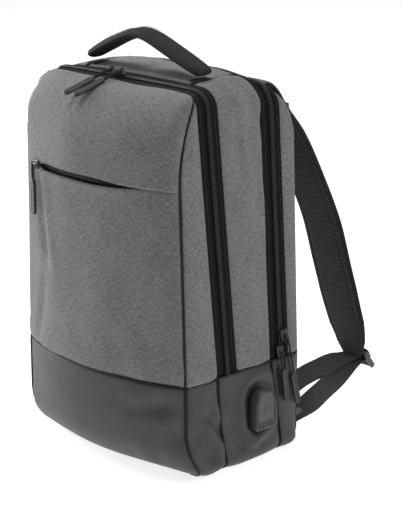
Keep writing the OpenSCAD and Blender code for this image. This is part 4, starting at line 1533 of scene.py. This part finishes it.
def make_hardware():
    bail = 5.8  # height of a bail's eye over the skin
    mid = bail_points()
    side_up = np.array([-TAPER, (main_zip(REF_Z) - main_zip(SEAM_Z)) / (REF_Z - SEAM_Z), 1.0])
    side_up /= np.linalg.norm(side_up)
    for name, body_name, node, lean, length in (
            ("upper", "upper_runner", "main_slider_upper", 14.0, 48.0),
            ("lower", "pack", "main_slider_lower", 8.0, 20.0)):
        y, z = mid[node][1:]
        skin_x = float(half_w(z))
        make_slider(f"{name}_slider", body_name, node, (skin_x + 0.4, y, z), side_up, (0, 1, 0), (1, 0, 0))
        a = math.radians(lean)
        make_pull(f"{name}_pull", f"{name}_pull", (f"main_pull_{name}_cord", f"main_pull_{name}_grip"),
                  (skin_x + bail, y, z), (0, math.sin(a), -math.cos(a)),
                  (0, math.cos(a), math.sin(a)), (1, 0, 0), length)
    tilt = math.asin((ROOF_Y - mid["front_slider_left"][1]) / ROOF_R)
    out = np.array([0, -math.sin(tilt), math.cos(tilt)])
    for side, x, way in (("left", -26.0, 1), ("right", -10.0, -1)):
        y = float(front_zip(BODY_H)) + 0.3
        origin = shoot(x, y, 380, UP)[0]
        make_slider(f"roof_slider_{side}", f"{side}_runner", f"front_slider_{side}", origin + out * 0.4,
                    (way, 0, 0), np.cross(out, (way, 0, 0)), out, True)
        yaw, pitch = math.radians(-9), math.radians(19)
        level = math.cos(pitch)
        down = np.array([level * math.sin(yaw), -level * math.cos(yaw), -math.sin(pitch)])
        across = np.array([math.cos(yaw), math.sin(yaw), 0])
        make_pull(f"roof_pull_{side}", f"{side}_pull",
                  (f"front_pull_{side}_cord", f"front_pull_{side}_grip"),
                  origin + out * bail, down, across, np.cross(down, across), 24.0)
    angle = math.atan2(mid["pocket_slider"][0], -(mid["pocket_slider"][1] - FRONT_Y - FRONT_R))
    out = np.array([math.sin(angle), -math.cos(angle), 0])
    across = np.array([math.cos(angle), math.sin(angle), 0])
    skin = np.array([0, FRONT_Y + FRONT_R, POCKET_Z]) + out * FRONT_R
    make_slider("pocket_slider_body", "pocket_runner", "pocket_slider", skin, across, (0, 0, 1), out, True)
    make_pull("pocket_pull_front", "pocket_pull", ("pocket_pull_cord", "pocket_pull_grip"),
              skin + out * bail, (0, 0, -1), across, out, 17.0)


make_hardware()


# ---- the moulded hood over the port ------------------------------------------------------
def make_hood():
    low, high = node_box("usb_hood")
    half, z0, z1 = (high[1] - low[1]) / 2, low[2], high[2]
    cy, base, rise = (low[1] + high[1]) / 2, low[0] - 1.5, high[0] - low[0] + 1.5
    spring, edge, wall = z1 - 19.0, 2.6, 1.8  # the rounded top springs from this height
    power = 2.3  # of the superellipse that is the top's outline

    def form(inset):
        a, b = half - inset, z1 - inset - spring
        near = np.array([0, 0.02, 0.08, 0.2, 0.4, 0.7, 1.1, 1.7, 2.6])
        z = np.concatenate([np.linspace(z0, spring, 18)[:-1],
                            np.linspace(spring, spring + b - 2.6, 14)[:-1], (spring + b - near)[::-1]])
        w = a * np.clip(1 - (np.clip(z - spring, 0, b) / b) ** power, 0, 1) ** (1 / power)
        u = np.concatenate([-(1 - near / 14.5), np.linspace(-0.8, 0.8, 15)[1:-1], (1 - near / 14.5)[::-1]])
        y = u[None] * w[:, None]
        z = z[:, None] + 0 * y
        f = (np.abs(y / a) ** power + (np.clip(z - spring, 0, b) / b) ** power) ** (1 / power)
        d = np.clip((1 - f) * a, 0, None)
        h = (rise - inset) * dome(d, edge) ** 0.9 - 0.5 * np.clip((z0 + 14 - z) / 14, 0, 1)
        return listed(base + h, cy + y, z), y.shape, listed(y, z)

    outer, shape, uv = form(0.0)
    inner, _, _ = form(wall)
    made = shell(outer, inner, facing(outer, quads(*shape), (1, 0, 0)), uv)
    # The grille's holes are small near-black cells on the surface: painted shade where the holes are.
    for i in range(7):
        for j in range(3):
            hole_shade_spot = (high[0] - 0.42, cy - 10.2 + i * 3.4, z0 + 3.2 + j * 2.7)
            round_box(hole_shade_spot, np.eye(3), (0.36, 0.95, 0.85), 0.34, made, 1)
    place(made.objects("usb_hood_shell", [HOOD, TAPE]), "pack", "usb_hood")


make_hood()


# ---- back panel and pads -----------------------------------------------------------------
def make_back():
    rim = back_rim()
    below = np.linspace(rim[-1], rim[0], 40)[1:-1]
    below[:, 1:] = rim[0, 1:]
    rim = np.vstack([rim, below])
    centre = np.array([0.0, 0, 215])
    shares = np.concatenate([[1, 0.995, 0.985, 0.97], np.linspace(0.95, 0.03, 34)])
    flat = (rim - centre) * [1, 0, 1]
    rows = []
    for t in shares:
        p = centre + flat * t
        rows.append(shoot(p[:, 0], 40, p[:, 2], BACKWARD) if t < 1 else rim)
    p = np.array(rows)
    n = np.tile([0.0, 1, 0], (*p.shape[:2], 1))
    x, z = p[..., 0], p[..., 2]
    inside = np.clip((1 - shares) / 0.06, 0, 1)[:, None]
    lift = -0.8 + (0.6 * ripple(x, z, 101, 90) + 0.7) * inside
    k = p.shape[1]
    outer = (p + n * lift[..., None]).reshape(-1, 3)
    inner = (p - n * 2.5).reshape(-1, 3)
    last = (len(shares) - 1) * k
    faces = facing(outer, quads(len(shares), k, 0, False, True), BACKWARD)
    faces += facing(outer, [[last + j for j in range(k)]], BACKWARD)
    made = shell(outer, inner, faces, listed(x, z), slots=(0, 1))
    place(made.objects("back_panel_cover", [MESH, LINING]), "pack", "back_panel")
    made = Build()
    for x0, x1, z0, z1 in ((14, 104, 150, 362), (-104, -14, 150, 362), (-104, 104, 48, 136)):
        cx, cz, hx, hz = (x0 + x1) / 2, (z0 + z1) / 2, (x1 - x0) / 2, (z1 - z0) / 2
        where = local_frame((cx, BACK_Y - 0.4, cz), (0, 0, 1), (1, 0, 0), (0, 1, 0))

        def top(d, x, z, hx=hx, hz=hz):
            span = z if hz > hx else x
            channel = np.exp(-(((np.abs(np.abs(x if hz > hx else z) - 14)) / 2.2) ** 2))
            full = 8.6 * dome(d, 14) - 3.0 * channel * np.clip(d / 12, 0, 1)
            return full - 1.0 * knit(x, z) * np.clip(d / 4, 0, 1) + 0.3 * np.sin(span / 17)

        pillow(hx, hz, 20, 14, top, lambda d, x, z: 0 * d - 0.5, where,
               (int(hx * 1.25), int(hz * 1.25)), made)
        edge = []
        for a in np.linspace(0, 2 * math.pi, 240, endpoint=False):
            c, q = math.cos(a), math.sin(a)
            edge.append((cx + np.sign(c) * min(abs(c) * 1.6, 1) * (hx - 20) + 20 * c, BACK_Y + 0.5,
                         cz + np.sign(q) * min(abs(q) * 1.6, 1) * (hz - 20) + 20 * q))
        tube(np.array(edge + edge[:1]), 1.2, made, 1)
    pads = made.objects("back_pad_covers", [MESH, PIPING])
    place(pads, "pack", "back_pads")


make_back()


# ---- front pocket's zip ------------------------------------------------------------------
def make_pocket_zip():
    x = np.linspace(-101, 101, 102)
    offsets = np.array([-8.5, -6, -4.5, -3.4, -2.6, -1.6, -0.5, 0.5, 1.6, 2.6, 3.4, 4.5, 6, 8.5])
    gx, gz = np.meshgrid(x, POCKET_Z + offsets)
    p = shoot(gx, -30, gz, FORWARD)
    n = outward(p)
    deep = -4.0 - 1.0 * np.exp(-((gz - POCKET_Z) / 3) ** 2) - 0.5 * np.abs(gx / 100)
    deep = (deep + 0.5 * np.exp(-(((np.abs(gz - POCKET_Z) - 2.9) / 0.6) ** 2))).ravel()
    high = p + n * deep[:, None]
    faces = facing(high, quads(len(offsets), len(x)), (0, -1, 0))
    made = shell(high, high - n * 0.9, faces, listed(gx, gz))
    for sign, phase in ((-1, 0.0), (1, 1.25)):
        xs = np.arange(-97 + phase, 97, COIL_PITCH)
        q = shoot(xs, -30, POCKET_Z + sign * 1.2, FORWARD)
        bricks(q - outward(q) * 4.4, outward(q), (1.3, 3.2, 1.5), made, 1)
    place(made.objects("pocket_zip_band", [TAPE, COIL]), "front_flap", "pocket_zip_tape")


make_pocket_zip()


# ---- cloth inside ------------------------------------------------------------------------
def wrapped(plan, z0, z1, thick, wave, floor=True):
    """An open pocket: a wall that follows plan, a line of (x, y), from z0 up to z1."""
    made = Build()
    line = resample(np.array([(x, y, 0) for x, y in plan], float), 3.0)
    line = smooth_line(line, 3)
    tangent = unit(np.gradient(line, axis=0))
    normal = np.stack([tangent[:, 1], -tangent[:, 0], 0 * tangent[:, 0]], -1)
    v = np.linspace(0, 1, 30)
    z = z0 + (z1 - z0) * v
    run = lengths(line)
    free = np.minimum(run, run[-1] - run) / 30
    sway = wave * ripple(run[None] + 0 * z[:, None], z[:, None] * 0.7 + 0 * run[None], 7, 80)
    sway = sway * np.clip(free, 0, 1)[None] * np.sin(math.pi * np.clip(v * 0.7, 0, 1))[:, None]
    half = thick / 2 + 0 * z
    half[-2:] += 0.5
    grid = np.stack([np.column_stack([line[:, :2], np.full(len(line), h)]) for h in z])
    outer = grid + normal[None] * (sway + half[:, None])[..., None]
    inner = grid + normal[None] * (sway - half[:, None])[..., None]
    outer, inner = outer.reshape(-1, 3), inner.reshape(-1, 3)
    uv = np.stack(np.meshgrid(run, z), -1).reshape(-1, 2)
    faces = quads(30, len(line))
    away = (outer - inner).reshape(30, len(line), 3)
    trial = np.cross(grid[0, 1] - grid[0, 0], grid[1, 0] - grid[0, 0]) @ away[0, 0]
    faces = faces if trial > 0 else [f[::-1] for f in faces]
    shell(outer, inner, faces, uv, made)
    if floor:
        x0, x1 = line[:, 0].min(), line[:, 0].max()
        y0, y1 = line[:, 1].min(), line[:, 1].max()
        where = local_frame(((x0 + x1) / 2, (y0 + y1) / 2, z0 + 1), (0, 1, 0), (1, 0, 0), (0, 0, 1))
        pillow((x1 - x0) / 2, (y1 - y0) / 2, 2, 1.2, lambda d, x, z: 0.9 * dome(d, 1),
               lambda d, x, z: -0.9 * dome(d, 1), where, (20, 8), made)
    return made, run[-1], z1 - z0


def across_bag(line, z0, z1, thick, wave, seed):
    """A sheet right across the bag at y = line(z), as wide as the bag inside its walls."""
    z = np.linspace(z0, z1, 60)
    y = line(z) + thick / 2
    near, away = np.zeros(60), np.full(60, 140.0)
    for _ in range(30):
        x = (near + away) / 2
        inside = body(np.stack([x, y, z], -1)) < -3.6
        near, away = np.where(inside, x, near), np.where(inside, away, x)
    u = np.linspace(-1, 1, 50)
    gx = near[:, None] * u[None]
    gz = z[:, None] + 0 * gx
    free = (1 - u[None] ** 4) * np.sin(math.pi * np.linspace(0, 1, 60))[:, None] ** 0.5
    gy = y[:, None] + wave * ripple(gx, gz * 0.8, seed, 110) * free
    grid = np.stack([gx, gy, gz], -1).reshape(-1, 3)
    half = np.array([0, thick / 2, 0])
    faces = facing(grid, quads(60, 50), (0, -1, 0))
    uv = listed(gx, gz)
    return shell(grid - half, grid + half, faces, uv), 2 * float(near.max()), z1 - z0


def declare(made, materials, name, body_name, node):
    obj = place(made.objects(name, materials), body_name, node)[0]


def make_inside():
    made, w, h = wrapped([(-115, 95), (-115, 68), (115, 68), (115, 95)], 14, 289, 3.0, 0.6)
    declare(made, [LINING], "laptop_sleeve_cover", "pack", "laptop_sleeve")
    line = curve_through([(0, 66, 264), (0, 65, 290), (0, 67, 301), (0, 80, 303), (0, 94, 302),
                          (0, 96, 290), (0, 96, 266)], 3.0)
    place(band(line, 30.0, 2.0, 0 * line[:, 0]).objects("sleeve_strap_band", [WEBBING]),
          "pack", "sleeve_strap")
    made, w, h = wrapped([(-111, 0), (-111, -15), (111, -15), (111, 0)], 119, 239, 1.6, 0.5)
    for x in (-40, 20, 66):
        bricks(listed(float(x), -16.0, np.linspace(124, 236, 34)), FORWARD, STITCH, made, 1)
    declare(made, [LINING, THREAD], "organiser_pocket_cover", "main_front", "organiser_pocket")
    made, w, h = wrapped([(-99, -81), (-99, -79.5), (99, -79.5), (99, -81)], 201, 325, 1.4, 0.4, False)
    declare(made, [LINING], "front_pocket_cover", "front_flap", "front_pocket")
    made, w, h = across_bag(shifted(front_zip, HALF_BAND + 1), 118, 428, 1.6, 0.6, 111)
    declare(made, [LINING], "divider_cover", "main_front", "divider")
    made, w, h = across_bag(lambda z: 2.2 + 0 * z, 8, 114, 1.6, 0.3, 117)
    declare(made, [LINING], "base_divider_cover", "pack", "base_divider")
    where = local_frame((0, 14, 4.6), (0, 1, 0), (1, 0, 0), (0, 0, 1))
    board = pillow(103, 57, 30, 1.4, lambda d, x, z: 1.4 * dome(d, 1.2),
                   lambda d, x, z: -1.4 * dome(d, 1.2), where, (40, 24))
    place(board.objects("base_board_sheet", [BOARD]), "pack", "base_board")
    for node, material in (("back_board", BOARD), ("usb_socket", STEEL)):
        data = bpy.data.objects[node]
        for slot in data.material_slots:
            slot.link = "OBJECT"
            slot.material = material


make_inside()


# ---- floor and light ---------------------------------------------------------------------
def make_stage():
    mesh = bpy.data.meshes.new("floor")
    r = 30.0
    mesh.from_pydata([(-r, -r, 0), (r, -r, 0), (r, r, 0), (-r, r, 0)], [], [(0, 1, 2, 3)])
    floor = new_object("floor", mesh)
    n = Nodes("floor", Roughness=0.9, Emission_Strength=0.80)
    n.shader.inputs["Base Color"].default_value = (0.6, 0.6, 0.6, 1)
    n.shader.inputs["Emission Color"].default_value = (1, 1, 1, 1)
    mesh.materials.append(n.material)
    world = bpy.data.worlds.new("world")
    world.use_nodes = True
    world.node_tree.nodes["Background"].inputs["Color"].default_value = (1, 1, 1, 1)
    world.node_tree.nodes["Background"].inputs["Strength"].default_value = 0.10
    bpy.context.scene.world = world
    bpy.context.scene.view_settings.view_transform = "Standard"
    lamp("left_softbox", (-2.5, -0.5, 1.1), 1.6, 84)
    lamp("right_softbox", (2.2, 0.7, 1.6), 1.4, 27)
    lamp("top_softbox", (-0.3, 0.1, 2.6), 1.6, 48)


def lamp(name, where, size, power):
    data = bpy.data.lights.new(name, "AREA")
    data.shape = "SQUARE"
    data.size = size
    data.energy = power
    obj = bpy.data.objects.new(name, data)
    obj.location = where
    aim = Vector((0, 0, 0.22)) - Vector(where)
    obj.rotation_euler = aim.to_track_quat("-Z", "Y").to_euler()
    bpy.context.scene.collection.objects.link(obj)


make_stage()
